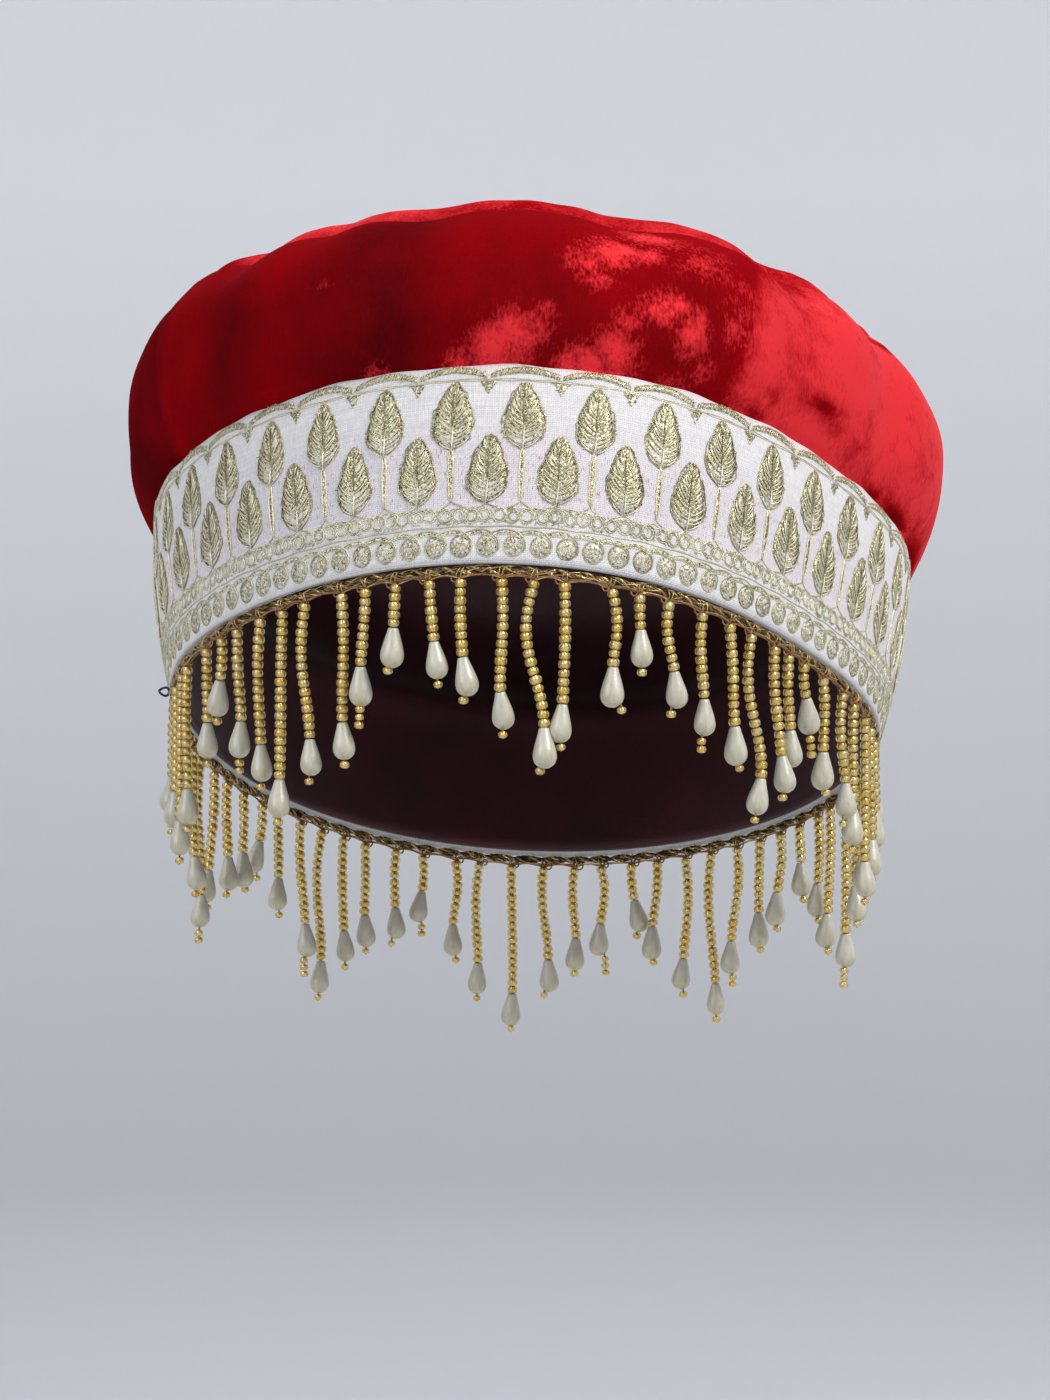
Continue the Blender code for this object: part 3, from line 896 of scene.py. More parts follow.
def leafStitches(middle, foot, lean, wide):
    # one leaf: veins from the midrib, steep bright stitches above them, flecks over the pad and its edge
    long, flecks = [], []

    def spot(x, t):
        return middle + lean * t + x * wide, foot + t * band["leafHeight"]

    def add(x0, t0, x1, t1, bow, thick, tone):
        long.append((*spot(x0, t0), *spot(x1, t1), bow * wide, band["thread"] * thick, tone))

    for side in (-1, 1):
        for k in range(band["veins"]):
            low = 0.02 + 0.068 * k + dice.normal(0.0, 0.012)
            high = low + 0.16 + 0.016 * k + dice.normal(0.0, 0.015)
            reach = dice.uniform(0.80, 0.98) * side
            add(0.05 * side, low, reach * leafWidth(high), high, 0.10 * side, 1.1, dice.uniform(0.75, 1.0))
        for k in range(band["steepStitches"]):
            low = 0.50 + 0.065 * k + dice.normal(0.0, 0.015)
            high = min(low + dice.uniform(0.11, 0.17), 0.96)
            start = dice.uniform(0.05, 0.45) * side * leafWidth(low)
            reach = dice.uniform(0.6, 0.95) * side * leafWidth(high)
            add(start, low, reach, high, 0.03 * side, 1.25, dice.uniform(0.75, 1.0))
    add(0.0, -0.03, 0.02, 0.36, 0.03, 1.3, 1.0)
    add(0.02, 0.32, 0.0, 0.90, -0.02, 1.0, 0.05)
    for k in range(band["leafFlecks"]):
        t, u = dice.uniform(0.05, 0.99), dice.uniform(-1.0, 1.0)
        if abs(u) > 0.8 or t > 0.4:
            flecks.append(fleck(*spot(0.98 * u * leafWidth(t), t)))
    for k in range(band["edgeFlecks"]):
        t, side = dice.uniform(0.06, 0.97), dice.choice((-1.0, 1.0))
        edge = side * leafWidth(t) * dice.uniform(0.90, 1.05)
        flecks.append(fleck(*spot(edge, t), 0.0003, 0.0005))
    return long, flecks


def leafOutlines(middles, foot, leans, wides):
    # a laid thread round each leaf and a small ring at its tip
    t = np.concatenate((np.linspace(0.01, 0.99, 13), np.linspace(0.99, 0.01, 13)))
    x = np.concatenate((leafWidth(t[:13]), -leafWidth(t[13:])))
    middles, leans, wides = middles[:, None], leans[:, None], wides[:, None]
    counts = (len(middles), len(t))
    arcs = middles + leans * t + wides * x + dice.normal(0.0, 0.0002, counts)
    heights = foot + band["leafHeight"] * t + dice.normal(0.0, 0.0002, counts)
    turn, radius = wholeTurn(10), band["tipRing"]
    ringArcs = middles + leans + radius * np.sin(turn)
    ringHeights = foot + 0.95 * band["leafHeight"] + radius * np.cos(turn) + 0.0 * ringArcs
    # the outline threads take dull tones, partly painted shade beside the raised thread
    return [couched(arcs, heights, band["thread"], low=0.0, high=0.5),
            couched(ringArcs, ringHeights, band["thread"])]


def treeStems(middles, foot):
    # two threads up to each tall leaf
    up = np.linspace(0.0, 1.0, 9)
    groups = []
    for side in (-1, 1):
        gap = side * band["stemGap"] * dice.uniform(0.7, 1.2, (len(middles), 1))
        arcs = middles[:, None] + gap * np.sin(math.pi * up) ** 0.6
        arcs = arcs + dice.normal(0.0, 0.00006, arcs.shape)
        heights = np.broadcast_to(mix(band["stemFoot"], foot + 0.0008, up), arcs.shape)
        groups.append(couched(arcs, heights, band["thread"] * 1.25, low=0.7, high=1.0))
    return groups


def treeFeet(middles, top):
    # threads that run from a tree's foot into the loops on either side
    share = np.linspace(0.0, 1.0, 6)
    groups = []
    for side in (-1, 1):
        reach = dice.uniform(0.0026, 0.0040, (len(middles), 1))
        arcs = middles[:, None] + side * reach * share
        low = band["ringHeight"] + dice.uniform(0.0009, 0.0018, (len(middles), 1))
        groups.append(couched(arcs, mix(top, low, share ** 0.7), band["thread"]))
    return groups


def makeTrees(rows):
    for name, middles, foot, leans, wides in rows:
        long, flecks = [], []
        for middle, lean, wide in zip(middles, leans, wides):
            made = leafStitches(middle, foot, lean, wide)
            long += made[0]
            flecks += made[1]
        groups = [stitches(long, over=0.7 * band["padRise"]), *leafOutlines(middles, foot, leans, wides)]
        if name == "tallTrees":
            groups += treeStems(middles, foot)
            foot = band["stemFoot"]
        groups += treeFeet(middles, foot + 0.0002)
        groups.append(stitches(flecks, 1, 0.6 * band["padRise"]))
        joinPiece(name, groups, zari, "band_cloth")


def loopNoise(count, spread):
    # a value for each loop, the same at the first as after the last
    values = dice.normal(0.0, spread, count)
    return lambda loop: np.interp(loop % count, np.arange(count + 1), np.append(values, values[0]))


def sewnLine(height, points, waves, thick, low, high):
    # a thread sewn all round the band, a little uneven
    along = np.linspace(0.0, bandLength, points + 1)
    heights = height + 0.0001 * np.sin(2 * math.pi * waves * along / bandLength)
    return couched(along[None], heights[None], band["thread"] * thick, True, low, high)


def makeRingChain():
    # touching rings, each sewn twice, and a running thread that loops back on itself like rows of cursive e
    count, level, thread = band["rings"], band["ringHeight"], band["thread"]
    pitch = bandLength / count
    middles = pitch * (np.arange(count) + dice.normal(0.0, 0.07, count))[:, None]
    levels = level + dice.normal(0.0, 0.00012, (count, 1))
    circle = wholeTurn(13)
    groups = []
    for share in (1.0, 0.72):
        radius = band["ringRadius"] * share * dice.uniform(0.9, 1.08, (count, 1))
        arcs = middles + dice.normal(0.0, 0.00012, (count, 1)) + radius * np.sin(circle)
        groups.append(couched(arcs, levels + radius * np.cos(circle), thread * 1.1, low=0.35, high=1.0))
    turn = np.linspace(0.0, 2 * math.pi * count, count * 12 + 1)
    loop = turn / (2 * math.pi)
    drift, growth, rise = loopNoise(count, 0.10), loopNoise(count, 0.16), loopNoise(count, 0.00016)
    size = band["ringRadius"] * (0.8 + growth(loop))
    arcs = pitch * (loop + drift(loop)) + 1.3 * size * np.sin(turn)
    heights = level + 0.0005 + rise(loop) + size * np.cos(turn)
    arcs[-1], heights[-1] = arcs[0] + bandLength, heights[0]
    groups.append(couched(arcs[None], heights[None], thread, True, 0.6, 0.8))
    groups.append(sewnLine(level - 0.0024, count * 5, 57, 0.9, 0.5, 0.7))
    flecks = []
    for k in range(count * 5):
        x = bandLength * (k + dice.uniform(0.0, 1.0)) / (count * 5)
        z = band["ringRadius"] * dice.choice((-1.0, 1.0)) * dice.uniform(0.7, 1.2)
        flecks.append(fleck(x, level + z))
    groups.append(stitches(flecks, 1))
    joinPiece("ringChain", groups, zari, "band_cloth", weld=True)


def waveAt(rows, share):
    # along in coin spacings and height of a wave's thread, share 0 to 1 from its start
    place = share * (len(rows) - 1.0)
    return [through([(k, row[column]) for k, row in enumerate(rows)], place) for column in (0, 1)]


def makeCoinRow():
    count, pitch, thread = band["coins"], bandLength / band["coins"], band["thread"]
    level, size, last = band["coinHeight"], band["coinRadius"], band["coinStitches"] - 1
    middles = pitch * np.arange(count)
    turn = wholeTurn(15)
    radius = size * dice.uniform(0.95, 1.05, (count, 1))
    arcs = middles[:, None] + radius * np.sin(turn)
    groups = [couched(arcs, level + radius * np.cos(turn), thread * 0.95, low=0.1, high=0.7)]
    # a wave over each coin, which starts behind the coin before it
    for rows, thick in ((band["waveOuter"], 1.1), (band["waveInner"], 0.9)):
        across, heights = waveAt(rows, np.linspace(0.0, 1.0, 15))
        arcs = middles[:, None] + pitch * across + dice.normal(0.0, 0.00007, (count, 15))
        groups.append(couched(arcs, np.broadcast_to(heights, arcs.shape), thread * thick))
    flecks = []
    for middle in middles:
        for k in range(last + 1):
            x = size * mix(-0.8, 0.8, k / last)
            reach = 0.8 * math.sqrt(size ** 2 - x * x) * dice.uniform(0.35, 0.9)
            tilt = 0.0004 * (1 if k % 2 else -1)
            low = level + dice.normal(0.0, 0.0004) - reach
            flecks.append((middle + x - tilt, low, middle + x + tilt, low + 1.6 * reach, 0.0, thread * 1.05,
                           dice.uniform(0.55, 1.0)))
        for k in range(band["coinFlecks"]):
            angle, reach = dice.uniform(0, 2 * math.pi), size * 0.85 * math.sqrt(dice.uniform(0.02, 0.9))
            flecks.append(fleck(middle + reach * math.sin(angle), level + reach * math.cos(angle)))
    groups.append(stitches(flecks, 1, 0.3 * band["padRise"]))
    joinPiece("coinRow", groups, zari, "band_cloth")


def borderJoints():
    return band["treeAt"] + bandLength / band["trees"] * (np.arange(band["trees"]) + 0.5)


def scallop(joint, share):
    # where a scallop is at a share of its way to the next joint: along, foot and thickness
    bend = np.sin(math.pi * share)
    along = joint + band["scallopInset"] + (bandLength / band["trees"] - 2 * band["scallopInset"]) * share
    foot = band["borderHeight"] + band["scallopFoot"] + band["scallopRise"] * bend
    return along, foot, 0.0010 + 0.0006 * bend ** 0.5


def makeTopBorder():
    level, count = band["borderHeight"], band["scallopStitches"]
    groups = [sewnLine(level, band["trees"] * 10, 61, 0.8, 0.6, 0.9),
              sewnLine(level - 0.0004, band["trees"] * 10, 87, 0.8, 0.6, 0.9)]
    satin, flecks = [], []
    for joint in borderJoints():
        for k in range(count):
            x, foot, thick = scallop(joint, (k + 0.5 + dice.normal(0.0, 0.15)) / count)
            foot = foot + dice.normal(0.0, 0.00012)
            high = foot + thick + dice.normal(0.0, 0.00014)
            tone = dice.uniform(0.55, 1.0)
            satin.append((x - 0.0003, foot, x + 0.0004, high, 0.0, band["thread"] * 1.5, tone))
        for k in range(band["triangleFlecks"]):
            down = 1.0 - math.sqrt(dice.uniform(0.0, 1.0))
            x = band["triangleHalfWidth"] * (1.0 - down) * dice.uniform(-1.0, 1.0)
            flecks.append(fleck(joint + x, level - 0.0006 - band["triangleDrop"] * down))
    groups += [stitches(satin, 1, 0.5 * band["padRise"]), stitches(flecks, 1, 0.4 * band["padRise"])]
    joinPiece("topBorder", groups, zari, "band_cloth", weld=True)


def padShape(across, along):
    # a closed pad, and its points' places on it: from -1 to 1 across and from 0 to 1 along
    bm = bmesh.new()
    bmesh.ops.create_grid(bm, x_segments=across, y_segments=along, size=1.0)
    bmesh.ops.solidify(bm, geom=bm.faces[:], thickness=0.1)
    bmesh.ops.recalc_face_normals(bm, faces=bm.faces)
    shape = template(bm)
    return shape, shape[0][:, 0], (shape[0][:, 1] + 1.0) / 2


def padded(shape, arcs, heights, rise, pale):
    # pads on the band, as high as rise says at each of the shape's points; the cloth shows where pale is high
    points = shape[0]
    upper = points[:, 2] > points[:, 2].mean()
    heights = np.broadcast_to(heights, arcs.shape)
    lift = np.broadcast_to(np.where(upper, rise, -band["padSink"]), arcs.shape)
    placed, _ = onBand(arcs, heights, lift)
    return shape, placed, np.broadcast_to(pale, arcs.shape)


def makeStitchPads(rows):
    # low pads of close tiny stitches under the leaves, stems, coins, waves, scallops and triangles
    rise, groups = band["padRise"], []
    shape, u, share = padShape(6, 11)
    t = mix(0.03, 0.985, share)
    high = rise * (1.0 - u ** 4) * smoothStep(0.0, 0.12, share) * (0.3 + 0.7 * smoothStep(0.2, 0.5, t))
    edgePoint = np.round(11 * share + 12 * (u > 0)).astype(int)
    for name, middles, foot, leans, wides in rows:
        start = dice.uniform(0.34, 0.52, (len(middles), 1))
        pale = 0.72 * smoothStep(start, start - 0.28, t) * (1.0 - 0.65 * np.abs(u) ** 3)
        ragged = 0.97 + 0.07 * dice.normal(0.0, 1.0, (len(middles), 24))[:, edgePoint]
        arcs = middles[:, None] + leans[:, None] * t + wides[:, None] * ragged * u * leafWidth(t)
        groups.append(padded(shape, arcs, foot + band["leafHeight"] * t, high, pale))
    shape, u, share = padShape(2, 8)
    arcs = rows[0][1][:, None] + band["stemGap"] * u * np.sin(math.pi * mix(0.06, 0.94, share)) ** 0.6
    groups.append(padded(shape, arcs, mix(band["stemFoot"], band["tallFoot"], share), rise * 0.5, 0.2))

    pitch, radius = bandLength / band["coins"], 0.94 * band["coinRadius"]
    middles = pitch * np.arange(band["coins"])[:, None]
    shape, u, share = padShape(4, 4)
    v = 2 * share - 1.0
    arcs = middles + radius * u * np.sqrt(1.0 - v * v / 2)
    heights = band["coinHeight"] + radius * v * np.sqrt(1.0 - u * u / 2)
    groups.append(padded(shape, arcs, heights, rise * 0.4, 0.62))
    shape, u, share = padShape(10, 2)
    outer = waveAt(band["waveOuter"], mix(0.06, 0.68, (u + 1.0) / 2))
    inner = waveAt(band["waveInner"], mix(0.04, 0.96, (u + 1.0) / 2))
    arcs = middles + pitch * mix(inner[0], outer[0], share)
    groups.append(padded(shape, arcs, mix(inner[1], outer[1], share), rise * 0.4, 0.45))

    joints = borderJoints()[:, None]
    shape, u, share = padShape(4, 4)
    heights = band["borderHeight"] - 0.0005 - band["triangleDrop"] * (1.0 - share)
    groups.append(padded(shape, joints + band["trianglePad"] * u * share, heights, rise * 0.5, 0.30))
    shape, u, share = padShape(18, 2)
    arcs, foot, thick = scallop(joints, (u + 1.0) / 2)
    groups.append(padded(shape, arcs, foot + thick * share, rise * 0.7, 0.25))
    joinPiece("stitchPads", groups, laidStitches, "band_cloth")


# lining

lining = {
    "around": 240,
    "rows": 44,
    "start": 0.02,
    "bandShare": 0.34,  # shares of its rows that lie behind the band, and behind band and side
    "sideShare": 0.66,
}


def liningPoint(angle, share):
    # it follows the inside of the band, then of the velvet's side and top, at a small distance
    bandEnd, sideEnd = lining["bandShare"], lining["sideShare"]
    underBand = cap["bandWall"] + cap["liningGap"]
    overTuck = 1.0 + cap["velvetWall"] / cap["bandHeight"]
    behind = cap["velvetWall"] + cap["liningGap"]
    inward = underBand + (cap["velvetWall"] + cap["gap"]) * smoothStep(bandEnd * 0.7, bandEnd, share)
    low = bandPoint(angle, mix(lining["start"], overTuck, np.clip(share / bandEnd, 0.0, 1.0)), inward)
    up = mix(0.08, 0.93, np.clip((share - bandEnd) / (sideEnd - bandEnd), 0.0, 1.0))
    side = sidePoint(angle, up, behind * 1.3)
    top = topPoint(angle, 0.92 * np.clip((1.0 - share) / (1.0 - sideEnd), 0.0, 1.0), behind * 1.4)
    first, second = (share <= bandEnd)[:, None], (share <= sideEnd)[:, None]
    return np.where(first, low, np.where(second, side, top))


def makeLining():
    obj = rolledSheet("liningCloth", lining["around"], lining["rows"], liningPoint, wall=cap["liningWall"])
    finishPiece(obj, liningCloth, "lining_cloth", "lining")


# fringe of beads

fringe = {
    "strands": 70,
    "firstAt": -0.0008,
    "inTurn": (18, 14, 9, 5, 8, 10, 13),
    # the front strands: number from the middle, slide along the rim and sideways hang in millimetres, beads
    "front": (
        (-13, -2.5, 0.4, 15), (-12, 2.3, 0.0, 9), (-11, 1.9, -2.4, 5), (-10, 0.8, -0.2, 11),
        (-9, 1.7, 0.3, 15), (-8, 1.3, -0.5, 20), (-7, 0.4, 0.7, 16), (-6, 2.8, 0.2, 15),
        (-5, 1.0, -1.6, 9), (-4, 0.5, -1.8, 5),
        (-3, 0.5, 1.8, 7), (-2, -0.4, 0.5, 9), (-1, 0.7, 0.2, 13), (0, 0.0, 1.1, 17), (1, -1.5, -0.9, 14),
        (2, 1.3, 2.0, 9), (3, 0.0, 0.2, 4), (4, -0.6, 0.5, 8), (5, 0.8, -0.4, 10), (6, 1.2, 2.7, 12),
        (7, 0.7, 0.7, 17), (8, 1.3, 1.3, 13), (9, -1.1, 0.2, 9), (10, -2.6, 2.4, 4), (11, -1.8, 0.9, 9),
        (12, 0.9, -1.6, 11),
    ),
    "slideSpread": 0.7,  # millimetres, of the other strands
    "hangSpread": 0.9,
    "bow": 0.0005,  # how far a strand of 30 mm bends out of line at most, and back again
    "sway": 0.0006,
    "braidHeight": 0.0030,
    "braidMiddle": 0.33,  # share of its height
    "braidDepth": 0.0026,
    "beadRadius": 0.00138,
    "beadHole": 0.00040,
    "beadLength": 0.00188,
    "beadPitch": 0.00195,
    # share of half the bead's length, share of its radius
    "beadRows": ((-1.0, 0.58), (-0.70, 0.91), (-0.26, 1.0), (0.26, 1.0), (0.70, 0.91), (1.0, 0.58)),
    "silverRadius": 0.00074,
    "pearlLength": 0.0089,
    "pearlRadius": 0.00268,
    # share down the pearl, share of its radius
    "pearlRows": ((0.0, 0.16), (0.0, 0.36), (0.015, 0.43), (0.06, 0.48), (0.16, 0.57), (0.29, 0.70),
                  (0.42, 0.83), (0.55, 0.94), (0.67, 1.0), (0.77, 0.98), (0.86, 0.87), (0.93, 0.68),
                  (0.975, 0.45), (1.0, 0.26), (1.0, 0.14)),
    "tails": (1, 1, 1, 1, 1, 2, 1, 1, 1, 1, 3),  # beads under the pearls
    "cordTurns": 42,
    "cordRadius": 0.00052,
    "threadTurns": 131,
    "threadRadius": 0.00030,
    "fibres": 460,
    "loopRadius": 0.00128,
    "loopThread": 0.00013,
    "stringRadius": 0.00028,
    # piece, how far its threads drop towards the strands, and their radius
    "bridges": (("copperBridges", 0.0007, 0.00024), ("copperBridges", 0.0004, 0.00020),
                ("goldBridges", 0.0009, 0.00013), ("goldBridges", 0.0005, 0.00011)),
    "navyLoopAt": -83.0,
    "navyLoopRadius": 0.00122,
    "navyThread": 0.00032,
}


def strandTable():
    # arc, sideways hang and beads of every strand, the measured ones in front
    special = {number % fringe["strands"]: row for number, *row in fringe["front"]}
    rows = []
    for number in range(fringe["strands"]):
        even = fringe["firstAt"] + rimLength * number / fringe["strands"]
        beads = fringe["inTurn"][number % len(fringe["inTurn"])]
        slide, hang = dice.normal(0.0, fringe["slideSpread"]), dice.normal(0.0, fringe["hangSpread"])
        slide, hang, beads = special.get(number, (slide, hang, beads))
        rows.append((even + slide / 1000, hang / 1000, beads))
    return rows


def between(angle, first, second):
    # the way at an angle from one way towards another
    return np.cos(angle)[..., None] * first + np.sin(angle)[..., None] * second


def braidFrame(along):
    # the middle of the braid at arc lengths round the rim, with its ways out and down
    angle = turnAt(along, rimArcs)
    low = cap["gap"] + fringe["braidHeight"] * fringe["braidMiddle"]
    centre = place(angle, cap["rimHalfWidth"], 0.0 * angle - low, fringe["braidDepth"] / 2)
    outward = outwardAt(angle)
    return centre, outward, np.array((0.0, 0.0, -1.0)) + 0 * outward


def makeBraid():
    # two cords twisted round each other, each of three metal threads
    steps = 1350
    along = np.linspace(0.0, rimLength, steps + 1)
    turn = 2 * math.pi * along / rimLength
    centre, outward, down = braidFrame(along)
    shape = tube(4, steps, 0.0, True)
    centres, ups = [], []
    for cord in range(2):
        twist = fringe["cordTurns"] * turn + math.pi * cord + 0.5 * np.sin(11 * turn)
        swing = fringe["cordRadius"] * between(twist, outward, down)
        for thread in range(3):
            wind = fringe["threadTurns"] * turn + 2 * math.pi * thread / 3
            wound = fringe["threadRadius"] * 1.05 * between(wind, outward, down)
            centres.append(centre + swing + wound)
            ups.append(unit(swing + wound))
    placed = alongPaths(shape, np.array(centres), np.array(ups), fringe["threadRadius"], 1.0, True)
    tones = np.array((0.0, 0.5, 0.0, 0.05, 0.0, 0.75))
    joinPiece("twistedBraid", [(shape, placed, tones)], braidGold, "gold_beads", "bead_fringe", weld=True)


def makeFibres():
    # loose ends of flat metal thread that lie slanting over the braid
    count, steps = fringe["fibres"], 5
    share = np.linspace(0.0, 1.0, steps + 1)
    starts = rimLength * (np.arange(count) + dice.uniform(0.0, 1.0, count)) / count
    along = starts[:, None] + dice.uniform(0.0025, 0.0065, (count, 1)) * share
    centre, outward, down = braidFrame(along)
    lean = dice.uniform(-0.6, 1.9, (count, 1))
    slant = dice.uniform(0.5, 1.3, (count, 1)) * dice.choice((-1.0, 1.0), (count, 1))
    out = between(lean + slant * share, outward, down)
    reach = fringe["cordRadius"] + 2 * fringe["threadRadius"] - 0.00012 + 0.00022 * np.sin(math.pi * share)
    shape = tube(4, steps, 0.5)
    placed = alongPaths(shape, centre + reach[:, None] * out, out, dice.uniform(0.00008, 0.00015, count), 0.6)
    joinPiece("braidFibres", [(shape, placed, dice.uniform(0.2, 1.0, count))], braidGold, "gold_beads")


def hangingPaths(table):
    # how each strand hangs in the cap's frame: its root on the braid, and points for any distances down it
    arcs, hangs, beads = (np.array(column) for column in zip(*table))
    angle = turnAt(arcs, rimArcs)
    low = -cap["gap"] - fringe["braidHeight"]
    root = place(angle, cap["rimHalfWidth"], 0.0 * angle + low, fringe["braidDepth"] / 2)
    down = tip.T @ np.array((0.0, 0.0, -1.0))
    across = tip.T @ np.array((1.0, 0.0, 0.0))
    back = tip.T @ np.array((0.0, 1.0, 0.0))
    facing = between(angle, across, back)  # along the rim
    outward = between(angle, -back, across)
    lengths = beads * fringe["beadPitch"] + fringe["pearlLength"]
    bow = fringe["bow"] * np.clip(dice.normal(0.0, 1.0, len(table)), -1.0, 1.0) * (lengths / 0.030)
    sway = dice.normal(0.0, fringe["sway"], len(table)) * (lengths / 0.030)
    sink = dice.normal(0.0, 0.0005, len(table))

    def at(strand, distance):
        share = np.clip(distance / lengths[strand], -0.2, 1.2)
        held, hung = np.clip(share, 0.0, 1.0), np.maximum(share, 0.0)
        aside = hangs[strand] * hung ** 1.4 + bow[strand] * np.sin(math.pi * held)
        aside = aside + sway[strand] * np.sin(2 * math.pi * held)
        out = sink[strand] * hung
        here = root[strand] + down * distance[:, None]
        return here + facing[strand] * aside[:, None] + outward[strand] * out[:, None]

    return at, arcs, beads, angle, root


def strungFrames(at, strand, distance, wobble):
    # places along the strands, each with three ways that follow the strand, turned and tilted a little
    here = at(strand, distance)
    way = unit(at(strand, distance + 0.0005) - at(strand, distance - 0.0005))
    way = unit(way + dice.normal(0.0, wobble, way.shape))
    side = unit(np.cross(way, np.array((0.3, 0.9, 0.1))))
    spin = dice.uniform(0.0, 2 * math.pi, len(strand))
    first = between(spin, side, np.cross(way, side))
    return here, first, np.cross(way, first), way


def strungCopies(shape, frames, size):
    here, first, second, way = (part[:, None] for part in frames)
    x, y, z = (shape[0][:, k, None] for k in range(3))
    return here + np.asarray(size)[:, None, None] * (x * first + y * second + z * way)


def turned(rows, sides):
    # a closed profile of radius and height, spun round Z
    bm = bmesh.new()
    verts = [bm.verts.new((radius, 0.0, height)) for radius, height in rows]
    edges = [bm.edges.new(pair) for pair in zip(verts, verts[1:] + verts[:1])]
    bmesh.ops.spin(bm, geom=verts + edges, cent=(0.0, 0.0, 0.0), axis=(0.0, 0.0, 1.0), angle=2 * math.pi,
                   steps=sides, use_merge=True)
    bmesh.ops.remove_doubles(bm, verts=bm.verts, dist=1e-7)
    bmesh.ops.recalc_face_normals(bm, faces=bm.faces)
    return template(bm)


def makeBeads(at, beads):
    pitch, half = fringe["beadPitch"], fringe["beadLength"] / 2
    rows = [(radius * fringe["beadRadius"], share * half) for share, radius in fringe["beadRows"]]
    glass = turned([(fringe["beadHole"], -half * 0.86), *rows, (fringe["beadHole"], half * 0.86)], 12)
    silver = tube(8, 1)
    silver[0][:, :2] *= fringe["silverRadius"]
    silver[0][:, 2] = (silver[0][:, 2] - 0.5) * 1.5 * half
    strand, distance, size = [], [], []
    for number, count in enumerate(beads):
        low = count * pitch + fringe["pearlLength"]
        strung = [(k + 0.5) * pitch + dice.normal(0.0, 0.00004) for k in range(count)]
        tail = fringe["tails"][number % len(fringe["tails"])]
        strung += [low + (k + 0.5) * pitch * 0.93 for k in range(tail)]
        strand += [number] * len(strung)
        distance += strung
        size += [dice.uniform(0.91, 1.05) if down < low else dice.uniform(0.74, 0.86) for down in strung]
    frames = strungFrames(at, np.array(strand), np.array(distance), 0.10)
    tones = dice.uniform(0.0, 1.0, len(strand))
    for name, shape, look in (("seedBeads", glass, beadGlass), ("beadLinings", silver, silvering)):
        joinPiece(name, [(shape, strungCopies(shape, frames, size), tones)], look, "gold_beads")


def makePearls(at, beads):
    long = fringe["pearlLength"]
    rows = [(radius * fringe["pearlRadius"], share * long) for share, radius in fringe["pearlRows"]]
    shape = turned(rows, 16)
    strand = np.arange(len(beads))
    frames = strungFrames(at, strand, np.array(beads) * fringe["beadPitch"] + 0.0001, 0.05)
    placed = strungCopies(shape, frames, dice.uniform(0.94, 1.03, len(beads)))
    obj = joinCopies("dropPearls", [(shape, placed, dice.uniform(0.0, 1.0, len(beads)))])
    markPoints(obj.data, "down", np.tile(shape[0][:, 2] / long, len(beads)))
    finishPiece(obj, pearlLook, "pearl")


def makeStrings(at, beads, angle):
    steps = 14
    strand = np.arange(len(beads))
    ends = np.array(beads) * fringe["beadPitch"] + fringe["pearlLength"] + fringe["beadLength"]
    centres = np.stack([at(strand, mix(-0.0012, ends, k / steps)) for k in range(steps + 1)], 1)
    shape = tube(4, steps, 0.3)
    ups = np.broadcast_to(outwardAt(angle)[:, None], centres.shape)
    placed = alongPaths(shape, centres, ups, fringe["stringRadius"])
    joinPiece("strings", [(shape, placed, np.zeros(len(beads)))], stringThread, "gold_beads")


def makeStrandLoops(angle, root):
    # turns of metal thread that hold each strand on the braid
    outward, along = outwardAt(angle), outwardAt(angle + math.pi / 2)
    upward = np.array((0.0, 0.0, 1.0))
    turn = wholeTurn(13)
    loop = tube(4, 12, 0.0, True)
    middle = root + upward * fringe["braidHeight"] / 2
    groups = []
    for shift in (-0.0005, 0.0004):
        radius = fringe["loopRadius"] * dice.uniform(0.97, 1.06, (len(angle), 1))
        lean = dice.normal(0.0, 0.3, (len(angle), 1))
        swing = radius[..., None] * between(turn, upward, outward[:, None])
        slant = (shift + lean * radius * np.cos(turn))[..., None] * along[:, None]
        path = middle[:, None] + swing + slant
        placed = alongPaths(loop, path, unit(swing), fringe["loopThread"], 1.0, True)
        groups.append((loop, placed, dice.uniform(0.5, 1.0, len(angle))))
    joinPiece("strandLoops", groups, braidGold, "gold_beads", weld=True)


